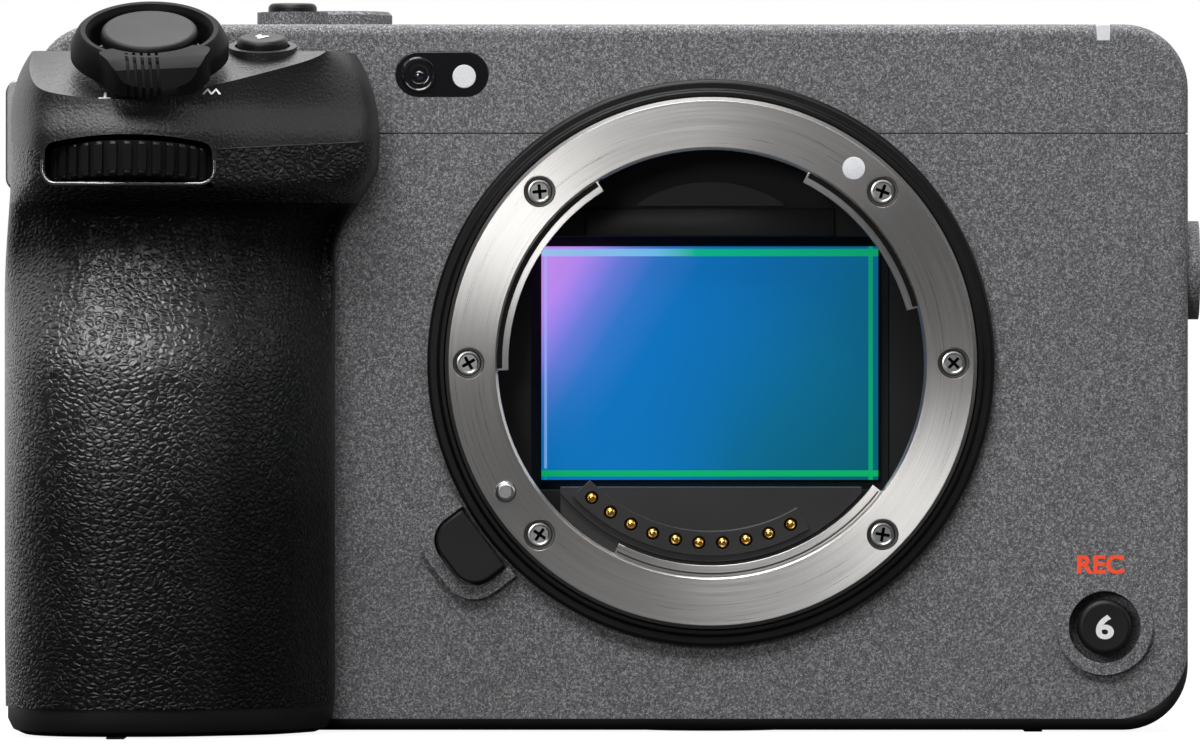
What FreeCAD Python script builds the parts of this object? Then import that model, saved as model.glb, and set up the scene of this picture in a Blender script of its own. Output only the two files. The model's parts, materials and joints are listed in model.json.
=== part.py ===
import FreeCAD, Part
import Sketcher
import math
import os
from types import SimpleNamespace
from FreeCAD import Placement, Rotation, Vector

# A compact cinema camera body, in millimetres.
# +Z is up, the lens looks along -Y, and +X is to the right as seen from the front.
# The origin is the mouth of the tripod socket; the sensor's light-sensitive plane is y = 0.

# Driving dimensions, one cell of the sheet each
SIZES = dict(
    # casing
    body_left=-73.4,
    body_right=51.7,
    body_front=-15.0,
    body_rear=33.0,
    body_base=0.25,
    body_top=76.7,
    wall=1.5,
    right_corner=7.0,
    left_corner=7.0,
    heel_corner=4.0,
    edge_round=1.2,
    seam_height=64.8,
    seam_depth=-2.0,
    seam_width=0.14,
    seam_groove=0.35,
    band_height=1.5,
    gap=0.3,
    # lens mount
    lens_height=40.0,
    flange_distance=18.0,
    throat_radius=23.05,
    tab_radius=21.9,
    tab_thickness=1.4,
    ring_radius=28.75,
    ring_thickness=2.3,
    collar_radius=30.7,
    collar_height=2.2,
    collar_step=29.6,
    # set in from the ring's outer edge
    mount_screw_circle=2.55,
    screw_head=1.35,
    screw_shank=0.85,
    counterbore=1.7,
    counterbore_depth=0.9,
    boss_inner=24.6,
    # contacts, the circle set in from the throat and the block's top measured from the lens axis
    contact_circle=3.6,
    contact_pitch=7.53,
    contact_first=228.5,
    contact_radius=0.65,
    block_top=-13.4,
    block_half=16.3,
    block_front=-16.2,
    block_rear=-9.4,
    # bayonet lock
    lock_angle=212.0,
    lock_radius=1.1,
    release_angle=217.5,
    release_width=10.8,
    # how far the release button's rim reaches past the collar
    release_reach=6.6,
    release_height=2.6,
    bezel_width=1.3,
    bezel_height=1.1,
    # chamber, shutter and sensor
    baffle_wall=1.1,
    baffle_rear=-7.4,
    frame_width=39.0,
    frame_height=27.5,
    shutter_front=-7.2,
    shutter_depth=3.4,
    shutter_half=26.5,
    # measured from the lens axis
    shutter_low=-18.0,
    shutter_high=29.4,
    blade_thickness=0.3,
    blade_height=13.9,
    sensor_width=35.6,
    sensor_height=23.8,
    stage_width=45.0,
    stage_height=32.0,
    stage_front=-2.9,
    stage_rear=2.6,
    stage_travel=1.0,
    carrier_wall=3.2,
    # inside
    chassis_front=-12.7,
    chassis_plate=1.8,
    chassis_low=5.0,
    chassis_high=74.0,
    chassis_left=-44.0,
    chassis_right=49.6,
    post=6.0,
    board_front=18.0,
    board_thickness=1.6,
    board_right=43.5,
    sink_front=3.0,
    sink_right=33.5,
    fan_x=14.0,
    fan_z=41.0,
    fan_radius=15.0,
    fan_depth=8.0,
    # grip
    grip_front=-42.0,
    grip_outer=-76.0,
    grip_web=-40.7,
    grip_base_top=3.2,
    grip_seam=64.8,
    seam_lean=5.4,
    grip_wrap=4.0,
    skin=1.2,
    grip_wall=1.6,
    finger_recess=7.5,
    recess_height=54.8,
    head_front=-40.5,
    head_right=-35.95,
    head_top=73.45,
    head_wall=1.8,
    right_shoulder=15.7,
    left_shoulder=12.0,
    slope_start=-28.0,
    slope_angle=25.5,
    # battery
    battery_width=22.7,
    battery_depth=38.7,
    battery_height=51.7,
    battery_left=-70.9,
    battery_front=-26.0,
    battery_low=3.4,
    case_wall=0.8,
    door_thickness=1.5,
    latch_travel=1.5,
    # controls on the grip
    dial_x=-62.15,
    dial_z=60.2,
    dial_radius=9.6,
    dial_width=3.8,
    slot_half=8.85,
    slot_low=59.3,
    slot_high=64.3,
    slot_rim=0.5,
    lever_x=-60.05,
    lever_y=-32.5,
    lever_radius=8.45,
    lever_base=1.4,
    lever_height=4.75,
    lever_bore=6.3,
    shutter_button_radius=5.2,
    grip_button_x=-48.2,
    grip_button_y=-27.3,
    grip_button_z=74.0,
    button_radius=2.72,
    button_ring=3.7,
    # front record button and window
    rec_x=42.6,
    rec_z=11.44,
    rec_radius=3.0,
    rec_recess=3.9,
    rec_boss=5.2,
    window_x=-29.1,
    window_z=71.25,
    window_width=10.1,
    window_height=4.9,
    # top controls
    top_rec_x=-45.5,
    top_rec_y=-6.0,
    top_ring_radius=3.85,
    top_ring_height=1.5,
    top_cap_radius=2.65,
    power_x=-40.4,
    power_y=9.0,
    power_radius=5.5,
    power_height=2.0,
    top_button_x=-58.0,
    top_button_y=2.0,
    rear_dial_x=-61.0,
    rear_dial_y=24.6,
    rear_dial_radius=10.0,
    rear_dial_z=69.2,
    rear_dial_width=4.6,
    # rear controls
    wheel_x=-47.0,
    wheel_z=24.5,
    wheel_radius=10.5,
    wheel_hole=4.4,
    stick_x=-44.0,
    stick_z=47.0,
    stick_radius=3.6,
    function_x=-36.0,
    function_z=39.0,
    thumb_depth=9.5,
    # monitor
    monitor_left=-28.0,
    monitor_right=46.3,
    monitor_low=7.0,
    monitor_high=62.0,
    monitor_gap=0.4,
    monitor_depth=7.6,
    hinge_x=49.3,
    hinge_y=37.2,
    hinge_radius=2.3,
    tilt_z=34.5,
    # shoe and threads
    shoe_slot=18.6,
    shoe_mouth=12.5,
    shoe_y=10.0,
    shoe_plate=1.4,
    shoe_gap=2.0,
    thread_radius=2.55,
    thread_depth=5.5,
    insert_radius=3.9,
    side_boss_radius=5.35,
    side_boss_height=1.36,
    side_boss_z=50.1,
    side_boss_y=-8.4,
    socket_radius=9.5,
    socket_depth=7.0,
    # side with the connectors
    side_front=-1.7,
    side_rear=20.7,
    side_low=8.3,
    # measured from the seam, and the openings' ends as shares of the side cover's height
    side_high=-4.3,
    port_front=2.0,
    port_rear=19.0,
    upper_port_low=0.557,
    upper_port_high=0.939,
    lower_port_low=0.052,
    lower_port_high=0.499,
    cover_thickness=1.5,
    port_depth=8.0,
    vent_margin=4.0,
    jack_radius=1.75,
    # strap lug
    lug_y=5.8,
    lug_z=65.0,
    lug_height=12.4,
    lug_width=3.2,
    lug_reach=3.9,
    lug_eye_height=6.8,
    lug_eye_width=1.4,
    # card door
    card_front=14.0,
    card_rear=29.5,
    card_low=18.0,
    card_high=57.0,
)

DOC = FreeCAD.newDocument("CinemaCamera")
SHEET = DOC.addObject("Spreadsheet::Sheet", "Sizes")


class Size:
    """A number that also carries the expression it was worked out with."""

    def __init__(self, value, text):
        self.value = value
        self.text = text

    def joined(self, sign, other, value):
        return Size(value, f"({self.text} {sign} {as_size(other).text})")

    def __add__(self, other):
        return self.joined("+", other, self.value + as_size(other).value)

    def __sub__(self, other):
        return self.joined("-", other, self.value - as_size(other).value)

    def __mul__(self, other):
        return self.joined("*", other, self.value * as_size(other).value)

    def __truediv__(self, other):
        return self.joined("/", other, self.value / as_size(other).value)

    def __radd__(self, other):
        return as_size(other) + self

    def __rsub__(self, other):
        return as_size(other) - self

    def __rmul__(self, other):
        return as_size(other) * self

    def __neg__(self):
        return Size(-self.value, f"(-{self.text})")


def as_size(number):
    return number if isinstance(number, Size) else Size(float(number), f"({float(number)!r})")


def fill_sheet():
    cells = SimpleNamespace()
    for row, (name, value) in enumerate(SIZES.items(), 1):
        SHEET.set(f"A{row}", name)
        SHEET.set(f"B{row}", str(value))
        SHEET.setAlias(f"B{row}", name)
        setattr(cells, name, Size(float(value), f"Sizes.{name}"))
    DOC.recompute()
    return cells


size = fill_sheet()
NODES = []
AXIS_TURN = {
    "X": Rotation(Vector(0, 1, 0), 90),
    "Y": Rotation(Vector(1, 0, 0), -90),
    "Z": Rotation(),
    "-X": Rotation(Vector(0, 1, 0), -90),
    "-Y": Rotation(Vector(1, 0, 0), 90),
    "-Z": Rotation(Vector(1, 0, 0), 180),
}


def bind(thing, name, number):
    thing.setExpression(name, as_size(number).text)


def put(thing, x, y, z, turn=None):
    """Place an object's own origin at x, y, z, turned as asked."""
    if turn is not None:
        thing.Placement = Placement(Vector(), turn)
    for axis, number in (("x", x), ("y", y), ("z", z)):
        bind(thing, "Placement.Base." + axis, number)
    return thing


def node(thing, label):
    thing.Label = label
    NODES.append(thing)
    return thing


def block(x, y, z):
    """A box between two places on each axis."""
    box = DOC.addObject("Part::Box", "Block")
    bind(box, "Length", x[1] - x[0])
    bind(box, "Width", y[1] - y[0])
    bind(box, "Height", z[1] - z[0])
    return put(box, x[0], y[0], z[0])


def rod(axis, across, radius, along):
    """A cylinder on an axis; across holds the two other coordinates, in X, Y, Z order."""
    cylinder = DOC.addObject("Part::Cylinder", "Rod")
    bind(cylinder, "Radius", radius)
    bind(cylinder, "Height", along[1] - along[0])
    first, second = across
    places = {"X": (along[0], first, second), "Y": (first, along[0], second), "Z": (first, second, along[0])}
    return put(cylinder, *places[axis], AXIS_TURN[axis])


def cut(base, *tools):
    result = DOC.addObject("Part::Cut", "Cut")
    result.Base = base
    result.Tool = tools[0] if len(tools) == 1 else fuse(*tools)
    return result


def fuse(*pieces):
    result = DOC.addObject("Part::MultiFuse", "Fuse")
    result.Shapes = list(pieces)
    return result


def common(*pieces):
    result = DOC.addObject("Part::MultiCommon", "Common")
    result.Shapes = list(pieces)
    return result


def group(*pieces):
    result = DOC.addObject("Part::Compound", "Group")
    result.Links = list(pieces)
    return result


def made(shape, name="Made"):
    """A shape made with Part's own functions from values read off the sheet."""
    feature = DOC.addObject("Part::Feature", name)
    feature.Shape = shape
    return feature


def ring(axis, across, outer, inner, along):
    return cut(rod(axis, across, outer, along), rod(axis, across, inner, along))


def origin_plane(body, role):
    return next(feature for feature in body.Origin.OriginFeatures if feature.Role == role)


def sketch_in(body, role, points, offset=0.0):
    """A closed outline of straight lines whose corners are bound to the sheet."""
    sketch = body.newObject("Sketcher::SketchObject", "Outline")
    sketch.AttachmentSupport = [(origin_plane(body, role), "")]
    sketch.MapMode = "FlatFace"
    bind(sketch, ".AttachmentOffset.Base.z", offset)
    corners = [(as_size(a), as_size(b)) for a, b in points]
    count = len(corners)
    for index in range(count):
        start = Vector(corners[index][0].value, corners[index][1].value)
        following = corners[(index + 1) % count]
        sketch.addGeometry(Part.LineSegment(start, Vector(following[0].value, following[1].value)), False)
    for index in range(count):
        sketch.addConstraint(Sketcher.Constraint("Coincident", index, 2, (index + 1) % count, 1))
    for index, corner in enumerate(corners):
        for kind, other_axis, number in (("DistanceX", -2, corner[0]), ("DistanceY", -1, corner[1])):
            if number.value == 0:
                sketch.addConstraint(Sketcher.Constraint("PointOnObject", index, 1, other_axis))
                continue
            place = sketch.addConstraint(Sketcher.Constraint(kind, -1, 1, index, 1, number.value))
            bind(sketch, f"Constraints[{place}]", number)
    return sketch


def slab(role, points, along, name="Slab"):
    """A PartDesign body: an outline padded between two places along the plane's third axis."""
    body = DOC.addObject("PartDesign::Body", name)
    low, high = as_size(along[0]), as_size(along[1])
    offset = -high if role == "XZ_Plane" else low
    sketch = sketch_in(body, role, points, offset)
    pad = body.newObject("PartDesign::Pad", name + "Pad")
    pad.Profile = sketch
    bind(pad, "Length", high - low)
    return body


def turned(profile, place, facing="Z", name="Turned"):
    """A PartDesign body turned from a profile of (radius, height) points about its own Z axis."""
    body = DOC.addObject("PartDesign::Body", name)
    sketch = sketch_in(body, "XZ_Plane", profile)
    revolution = body.newObject("PartDesign::Revolution", name + "Revolution")
    revolution.Profile = sketch
    revolution.ReferenceAxis = (sketch, ["V_Axis"])
    revolution.Angle = 360
    turn = AXIS_TURN[facing] if isinstance(facing, str) else facing
    return put(body, *place, turn)


def round_edges(body, radius, chosen, name="Round"):
    """Fillet the tip's edges that the test picks out."""
    DOC.recompute()
    tip = body.Tip
    picked = [f"Edge{place}" for place, edge in enumerate(tip.Shape.Edges, 1) if chosen(edge)]
    fillet = body.newObject("PartDesign::Fillet", name)
    fillet.Base = (tip, picked)
    bind(fillet, "Radius", radius)
    return body


def edge_along(axis, length_test=None):
    """A test for straight edges that run along one axis."""

    def chosen(edge):
        box = edge.BoundBox
        spans = {"X": box.XLength, "Y": box.YLength, "Z": box.ZLength}
        others = [span for name, span in spans.items() if name != axis]
        return max(others) < 1e-4 and spans[axis] > 1e-3 and (length_test is None or length_test(box))

    return chosen


def polar(radius, angle, centre_x=0.0, centre_z=None):
    """A place on a circle about the lens axis; the angle runs from +X towards +Z."""
    lift = size.lens_height if centre_z is None else centre_z
    turn = math.radians(as_size(angle).value)
    return radius * math.cos(turn) + centre_x, radius * math.sin(turn) + lift


# Casing outlines

def casing_solid(inset):
    """The whole casing as one block with rounded corners, or its hollow with an inset."""
    left, right = size.body_left + inset, size.body_right - inset
    low, high = size.body_base + inset, size.body_top - inset
    front, rear = size.body_front + inset, size.body_rear - inset
    body = slab("XZ_Plane", [(left, low), (right, low), (right, high), (left, high)], (front, rear), "Casing")
    middle = (left.value + right.value) / 2
    on_right = edge_along("Y", lambda box: box.Center.x > middle)
    round_edges(body, size.right_corner - inset, on_right, "RightCorners")
    upper = (low.value + high.value) / 2
    top_left = edge_along("Y", lambda box: box.Center.x < middle and box.Center.z > upper)
    round_edges(body, size.left_corner - inset, top_left, "TopLeftCorner")
    low_left = edge_along("Y", lambda box: box.Center.x < middle and box.Center.z < upper)
    round_edges(body, size.heel_corner - inset, low_left, "LowLeftCorner")
    if as_size(inset).value == 0:
        face_round = lambda edge: edge.BoundBox.YLength < 1e-4
        round_edges(body, size.edge_round, face_round, "FaceEdges")
    return body


FAR = 200.0
EVERYWHERE = (-FAR, FAR)


def moved_in(points, inset):
    """Points of a closed line, each moved inwards by the inset."""
    moved = []
    for index, (x, y) in enumerate(points):
        before = points[index - 1]
        after = points[(index + 1) % len(points)]
        run = math.hypot(after[0] - before[0], after[1] - before[1])
        out_x, out_y = (after[1] - before[1]) / run, -(after[0] - before[0]) / run
        moved.append((x - out_x * inset, y - out_y * inset))
    return moved


def handle_points(front, outer, web):
    """Points round the handle in plan, from the wrapped side to the web and back inside the casing."""
    rear = size.grip_wrap.value
    face = size.body_front.value
    return [
        (outer + 1.5, rear + 4.0),
        (outer + 0.4, -10.0),
        (outer, -24.0),
        (outer + 2.4, front + 6.0),
        (outer + 8.0, front + 0.7),
        (outer + 14.0, front),
        (outer + 20.0, front + 1.3),
        (outer + 25.5, front + 5.0),
        (outer + 30.5, front + 10.0),
        (web - 1.2, front + 18.0),
        (web, face),
        (web - 2.0, rear + 4.0),
        (web - 10.0, rear + 14.0),
        (outer + 12.0, rear + 14.0),
    ]


def panel_points(front, outer, web):
    """The same points at the top of the handle, where its line is fuller at the outer corner."""
    rear = size.grip_wrap.value
    face = size.body_front.value
    return [
        (outer + 1.5, rear + 4.0),
        (outer + 0.4, -10.0),
        (outer + 0.2, -25.0),
        (outer + 2.4, front + 4.3),
        (outer + 6.0, front + 1.0),
        (outer + 13.0, front),
        (outer + 19.6, front + 2.1),
        (outer + 25.0, front + 5.0),
        (outer + 30.5, front + 8.9),
        (web - 2.0, front + 13.5),
        (web, face - 1.5),
        (web - 1.0, rear + 4.0),
        (web - 10.0, rear + 14.0),
        (outer + 12.0, rear + 14.0),
    ]


def closed_outline(points, height):
    """A smooth closed line through the points, with the same parameters at every height."""
    curve = Part.BSplineCurve()
    steps = [float(index) for index in range(len(points) + 1)]
    curve.interpolate(Points=[Vector(x, y, height) for x, y in points], PeriodicFlag=True, Parameters=steps)
    return Part.Wire([curve.toShape()])


def eased(place, start, end):
    """A smooth step from 0 at the start to 1 at the end."""
    share = min(max((place - start) / (end - start), 0.0), 1.0)
    return share * share * (3 - 2 * share)


def shoulder(place, start, radius):
    """How far an arc of this radius has turned in at a place past its start."""
    past = max(place - start, 0.0)
    return radius - math.sqrt(radius * radius - past * past)


def grip_level(height):
    """Front, outer side and inner side of the handle at a height."""
    recess, seam = size.recess_height.value, size.grip_seam.value
    base = size.grip_base_top.value
    drawn_in = eased(height, recess - 17.0, recess) - 0.8 * eased(height, recess + 0.7, recess + 4.7)
    heel = 1 - eased(height, base - 1, base + 10.0)
    scoop = 1.2 * eased(height, seam - 0.8, seam + 3.2)
    front = size.grip_front.value + size.finger_recess.value * drawn_in + 0.7 * heel + scoop
    leaned = 0.55 * eased(height, recess - 8.0, seam - 3.0)
    rounding = shoulder(height, seam + 1.7, size.left_shoulder.value)
    outer = size.grip_outer.value + leaned + 0.1 * heel + rounding
    spread = eased(height, recess - 3.0, recess + 7.5)
    web = size.grip_web.value + (size.head_right.value - size.grip_web.value) * spread
    return front, outer, web - shoulder(height, seam, size.right_shoulder.value)


def handle_line(height, inset):
    """The handle's outline at a height, which passes smoothly into the panel's own outline."""
    level = grip_level(height)
    recess = size.recess_height.value
    share = eased(height, recess - 5.0, recess + 6.0)
    mixed = [(low[0] + (high[0] - low[0]) * share, low[1] + (high[1] - low[1]) * share)
             for low, high in zip(handle_points(*level), panel_points(*level))]
    return moved_in(mixed, inset)


def handle_loft(low, high, steps, inset, name):
    heights = [low + (high - low) * step / steps for step in range(steps + 1)]
    wires = [closed_outline(handle_line(height, inset), height) for height in heights]
    return made(Part.makeLoft(wires, True, False), name)


def grip_solid(inset):
    return handle_loft(size.grip_base_top.value, size.grip_seam.value + 3.0, 52, inset, "GripForm")


def seam_side(up):
    """Everything above or below the leaning seam between the rubber and the head."""
    solid = Part.makeBox(2 * FAR, 2 * FAR, FAR, Vector(-FAR, -FAR, 0 if up else -FAR))
    solid.rotate(Vector(), Vector(1, 0, 0), size.seam_lean.value)
    solid.translate(Vector(0, size.body_front.value, size.grip_seam.value))
    return made(solid, "SeamSide")


def body_zone(inset=0.0):
    """Everything inside the casing's left side and front face."""
    left, front = size.body_left + inset, size.body_front + inset
    return block((left, left + FAR), (front, front + FAR), (-FAR, FAR))


def grip_skin():
    layer = cut(grip_solid(0.0), grip_solid(size.skin.value))
    behind = block(EVERYWHERE, (size.grip_wrap, size.grip_wrap + FAR), EVERYWHERE)
    opening = slot_solid(size.slot_rim.value)
    return node(cut(layer, body_zone(), behind, seam_side(True), opening, dial_pocket()),
                "grip_skin")


def grip_core():
    shell = cut(grip_solid(size.skin.value), grip_solid(size.skin.value + size.grip_wall.value))
    behind = block(EVERYWHERE, (size.body_front, size.body_front + FAR), EVERYWHERE)
    frame_room = slot_solid(size.slot_rim.value + 0.15)
    return node(cut(shell, behind, seam_side(True), frame_room, dial_pocket(), block(*battery_box(0.2))),
                "grip_core")


def slot_solid(extra):
    """The dial's opening, straight below and gently arched above, with round corners."""
    middle, half = size.dial_x.value, size.slot_half.value + extra
    left, right, low = middle - half, middle + half, size.slot_low.value - extra
    high = size.slot_high.value + extra
    spring = high - 1.0
    corners = [Vector(left, 0, low), Vector(right, 0, low), Vector(right, 0, spring), Vector(left, 0, spring)]
    edges = [Part.LineSegment(corners[index], corners[(index + 1) % 4]).toShape() for index in (0, 1, 3)]
    edges.insert(2, Part.Arc(corners[2], Vector(middle, 0, high), corners[3]).toShape())
    solid = Part.Face(Part.Wire(edges)).extrude(Vector(0, 17, 0))
    corner_edges = [edge for edge in solid.Edges if edge.BoundBox.YLength > 16.9]
    solid = solid.makeFillet(1.2 + extra, corner_edges)
    solid.translate(Vector(0, size.grip_front.value - 3, 0))
    return made(solid, "SlotForm")


def slope_cutter(drop):
    """Everything above the sloping control panel, lowered by drop."""
    angle = math.radians(size.slope_angle.value)
    start, top = size.slope_start.value, size.head_top.value - drop
    reach = 30.0
    corners = [
        Vector(-FAR, start, top), Vector(-FAR, start - reach, top - reach * math.tan(angle)),
        Vector(-FAR, start - reach, top + 30.0), Vector(-FAR, start, top + 30.0),
    ]
    face = Part.Face(Part.makePolygon(corners + [corners[0]]))
    slope = face.extrude(Vector(2 * FAR, 0, 0))
    flat = Part.makeBox(2 * FAR, FAR, 30.0, Vector(-FAR, start - 0.001, top))
    return made(slope.fuse(flat), "Slope")


def head_block(inset, low, drop):
    """The grip's head from a height up to its sloping panel."""
    return cut(handle_loft(low, size.head_top.value + 2, 12, inset, "HeadForm"), slope_cutter(drop))


# Casings

def lens_rod(radius, along):
    return rod("Y", (0, size.lens_height), radius, along)


def radial_block(angle, radial, across, along, corner):
    """A block set out from the lens axis at an angle, with its outer corners rounded."""
    length = radial[1] - radial[0]
    solid = Part.makeBox(length, along[1] - along[0], 2 * across, Vector(radial[0], along[0], -across))
    outer = [edge for edge in solid.Edges
             if abs(edge.BoundBox.YLength - (along[1] - along[0])) < 1e-6 and edge.BoundBox.XMin > radial[0] + 1e-3]
    solid = solid.makeFillet(corner, outer)
    solid.rotate(Vector(), Vector(0, 1, 0), -angle)
    solid.translate(Vector(0, 0, size.lens_height.value))
    return made(solid, "Radial")


def arc_block(inner, outer, start, end, along):
    """A stretch of ring about the lens axis between two angles."""
    depth = along[1] - along[0]
    solid = Part.makeCylinder(outer, depth, Vector(), Vector(0, 0, 1), end - start)
    solid = solid.cut(Part.makeCylinder(inner, depth))
    solid.rotate(Vector(), Vector(0, 0, 1), start)
    solid.rotate(Vector(), Vector(1, 0, 0), 90)
    solid.translate(Vector(0, along[1], size.lens_height.value))
    return made(solid, "Arc")


def release_parts():
    """Tongue, its opening and the raised rim round it."""
    start, face = size.collar_radius.value + 0.3, size.body_front.value
    rim, half = size.bezel_width.value, size.release_width.value / 2
    end, angle = size.collar_radius.value + size.release_reach.value, size.release_angle.value
    clear = 0.25
    tongue = radial_block(angle, (start, end - rim - clear), half - rim - clear,
                          (face - size.release_height.value, face + 0.1), 2.6)
    opening = radial_block(angle, (start - 0.26, end - rim), half - rim, (face - 5, face + 3), 2.8)
    rim_span = (face - size.bezel_height.value, face + 0.5)
    rim_block = radial_block(angle, (start - 0.25, end), half, rim_span, 3.6)
    return tongue, opening, rim_block


def casing_slice(x, y, z):
    """A stretch of the casing's walls, open to the base plate underneath."""
    wall = size.wall
    underneath = block((size.body_left + size.heel_corner, size.body_right - size.right_corner),
                       (size.body_front + wall, size.body_rear - wall),
                       (size.body_base - 1, size.body_base + wall))
    return common(cut(casing_solid(0.0), casing_solid(wall), underneath), block(x, y, z))


def front_cover():
    shell = casing_slice(EVERYWHERE, (size.body_front - 1, size.seam_depth),
                         (size.band_height, size.seam_height))
    tongue, opening, rim = release_parts()
    node(tongue, "release_button")
    rec = (size.rec_x, size.rec_z)
    face = size.body_front
    cup = rod("Y", rec, size.rec_boss, (face - 0.9, face + 3.5))
    side_boss = rod("X", (size.side_boss_y, size.side_boss_z), size.side_boss_radius,
                    (size.body_right - 4.6, size.body_right + size.side_boss_height))
    shell = fuse(shell, rim, cup, side_boss, *case_screw_bosses(0))
    handle = block((-FAR, size.grip_web - 1.7), (face - 1, face + size.wall + 0.01),
                   (size.band_height - 1, size.seam_height - 2.0))
    return node(cut(
        shell,
        opening,
        window_boss(),
        window_solid(0.02, (size.body_front - 1, size.body_front + 6)),
        lens_rod(size.ring_radius + 0.75, (face - 2, face + 3)),
        rod("Y", rec, size.rec_recess, (face - 2, face + 2.0)),
        rod("Y", rec, 1.3, (face, face + 5)),
        rod("X", (size.side_boss_y, size.side_boss_z), size.insert_radius,
            (size.body_right - 6, size.body_right + 3)),
        handle,
        door_room(size.body_base + size.door_thickness + 0.1),
        *case_screw_holes(0),
    ), "front_cover")


def thread_places():
    """Middle of each thread insert in the top, in plan."""
    return [(40.0, -5.0), (-33.0, -5.0), (40.0, 24.0)]


def groove_round(x, y, z):
    """A fine groove round the casing where two covers meet."""
    return cut(block(x, y, z), casing_solid(size.seam_groove))


def window_boss():
    """The block behind the front window."""
    half = size.window_width / 2 + 0.8
    return block((size.window_x - half, size.window_x + half), (size.body_front + 1, size.body_front + 4),
                 (size.window_z - 3.6, size.window_z + 3.0))


def shoe_floor():
    return size.body_top - 4.2


def shoe_bay():
    """The material round the accessory shoe's bay, and the bay itself."""
    half = size.shoe_slot / 2 + 2.6
    around = block((-half, half), (size.shoe_y - 2.6, size.body_rear - 1),
                   (shoe_floor() - 1.3, size.body_top - 0.5))
    inside = block((-(half - 1.2), half - 1.2), (size.shoe_y - 1.4, size.body_rear + 1),
                   (shoe_floor(), size.body_top + 1))
    return around, inside


def rear_dial_room():
    return rod("Z", (size.rear_dial_x, size.rear_dial_y), size.rear_dial_radius + 0.4,
               (size.rear_dial_z - 0.3, size.rear_dial_z + size.rear_dial_width + 0.3))


def top_cover():
    top = size.body_top
    shell = casing_slice(EVERYWHERE, EVERYWHERE, (size.seam_height, top + 1))
    bosses = [rod("Z", place, size.insert_radius + 1.4, (top - 7.2, top - 0.6)) for place in thread_places()]
    rec = (size.top_rec_x, size.top_rec_y)
    bosses.append(rod("Z", rec, size.top_ring_radius, (top - 3.0, top + size.top_ring_height)))
    bosses.append(rod("Z", (size.power_x, size.power_y), 3.0, (top - 4.0, top - 0.5)))
    bosses.append(window_boss())
    shoe_block, bay = shoe_bay()
    shell = fuse(shell, *bosses, shoe_block)
    return node(cut(
        shell,
        *[rod("Z", place, size.insert_radius, (top - 5.6, top + 1)) for place in thread_places()],
        rod("Z", rec, size.top_cap_radius + 0.25, (top - 1.0, top + 3)),
        rod("Z", rec, 1.1, (top - 5, top)),
        rod("Z", (size.power_x, size.power_y), 1.55, (top - 8, top + 3)),
        rod("Z", (size.top_button_x, size.top_button_y), 2.95, (top - 1.2, top + 1)),
        rod("Z", (size.top_button_x, size.top_button_y), 1.1, (top - 5, top)),
        bay,
        window_solid(0.02, (size.body_front - 1, size.body_front + 6)),
        lens_rod(size.ring_radius + 0.75, (size.body_front - 2, size.body_front + 3)),
        rear_dial_room(),
        lamp_solid(0.0),
        head_cavity(),
        groove_round(EVERYWHERE, EVERYWHERE, (size.seam_height - 1, size.seam_height + size.seam_width)),
    ), "top_cover")


def window_solid(extra, along):
    """A pill shape across the front window's place."""
    half, round_radius = size.window_width / 2 - size.window_height / 2, size.window_height / 2 + extra
    left, right = size.window_x - half, size.window_x + half
    return fuse(
        rod("Y", (left, size.window_z), round_radius, along),
        rod("Y", (right, size.window_z), round_radius, along),
        block((left, right), along, (size.window_z - round_radius, size.window_z + round_radius)),
    )


def lamp_solid(extra):
    x = size.rec_x - 0.1
    return block((x - 0.78 - extra, x + 0.78 + extra), (size.body_front - 0.01, size.body_front + 6),
                 (size.body_top - 1.8, size.body_top + 0.01))


def head_cavity():
    """Room in the top cover's front left for the head's rear end."""
    return block((size.body_left + size.wall, size.head_right - 3.0),
                 (size.body_front - 1, size.body_front + size.wall + 0.01), (size.grip_seam, size.head_top - 3.0))


def rear_cover():
    rear = size.body_rear
    shell = casing_slice(EVERYWHERE, (size.seam_depth, rear + 1), (size.band_height, size.seam_height))
    shoe_block, bay = shoe_bay()
    ears = [block((size.hinge_x - 2.1, size.hinge_x + 2.1), (rear - 1, size.hinge_y + 2.1), span)
            for span in ear_spans()]
    pins = [rod("Z", (size.hinge_x, size.hinge_y), 1.0, span) for span in pin_spans()]
    pad = rod("Y", (size.wheel_x, size.wheel_z), size.wheel_radius + 1.6, (rear - 4.0, rear + 0.4))
    shell = fuse(shell, pad, *ears, *pins, *case_screw_bosses(1))
    return node(cut(
        shell,
        rod("Y", (size.wheel_x, size.wheel_z), size.wheel_radius + 0.3, (rear - 0.8, rear + 2)),
        rod("Y", (size.wheel_x, size.wheel_z), 1.1, (rear - 6, rear + 2)),
        rod("Y", (size.stick_x, size.stick_z), 2.1, (rear - 6, rear + 2)),
        rod("Y", (size.function_x, size.function_z), 2.6, (rear - 1.0, rear + 2)),
        rod("Y", (size.function_x, size.function_z), 1.1, (rear - 6, rear + 2)),
        block((size.body_right - 6, size.body_right + 1),
              (size.side_front - size.gap, size.side_rear + size.gap),
              (size.side_low - size.gap, side_top() + size.gap)),
        block((size.body_left - 1, size.body_left + 6),
              (size.card_front - size.gap, size.card_rear + size.gap),
              (size.card_low - size.gap, size.card_high + size.gap)),
        shoe_block,
        bay,
        rear_dial_room(),
        door_room(size.body_base + size.door_thickness + 0.1),
        groove_round(EVERYWHERE, (size.seam_depth - 1, size.seam_depth + size.seam_width), EVERYWHERE),
        *case_screw_holes(1),
    ), "rear_cover")


def ear_spans():
    return [(22.0, 26.0), (43.0, 47.0)]


def pin_spans():
    return [(25.0, 29.0), (40.0, 44.0)]


def side_top():
    return size.seam_height + size.side_high


def side_height(share):
    """A height on the side cover, as a share of the way up it."""
    return size.side_low + (side_top() - size.side_low) * share


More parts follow.
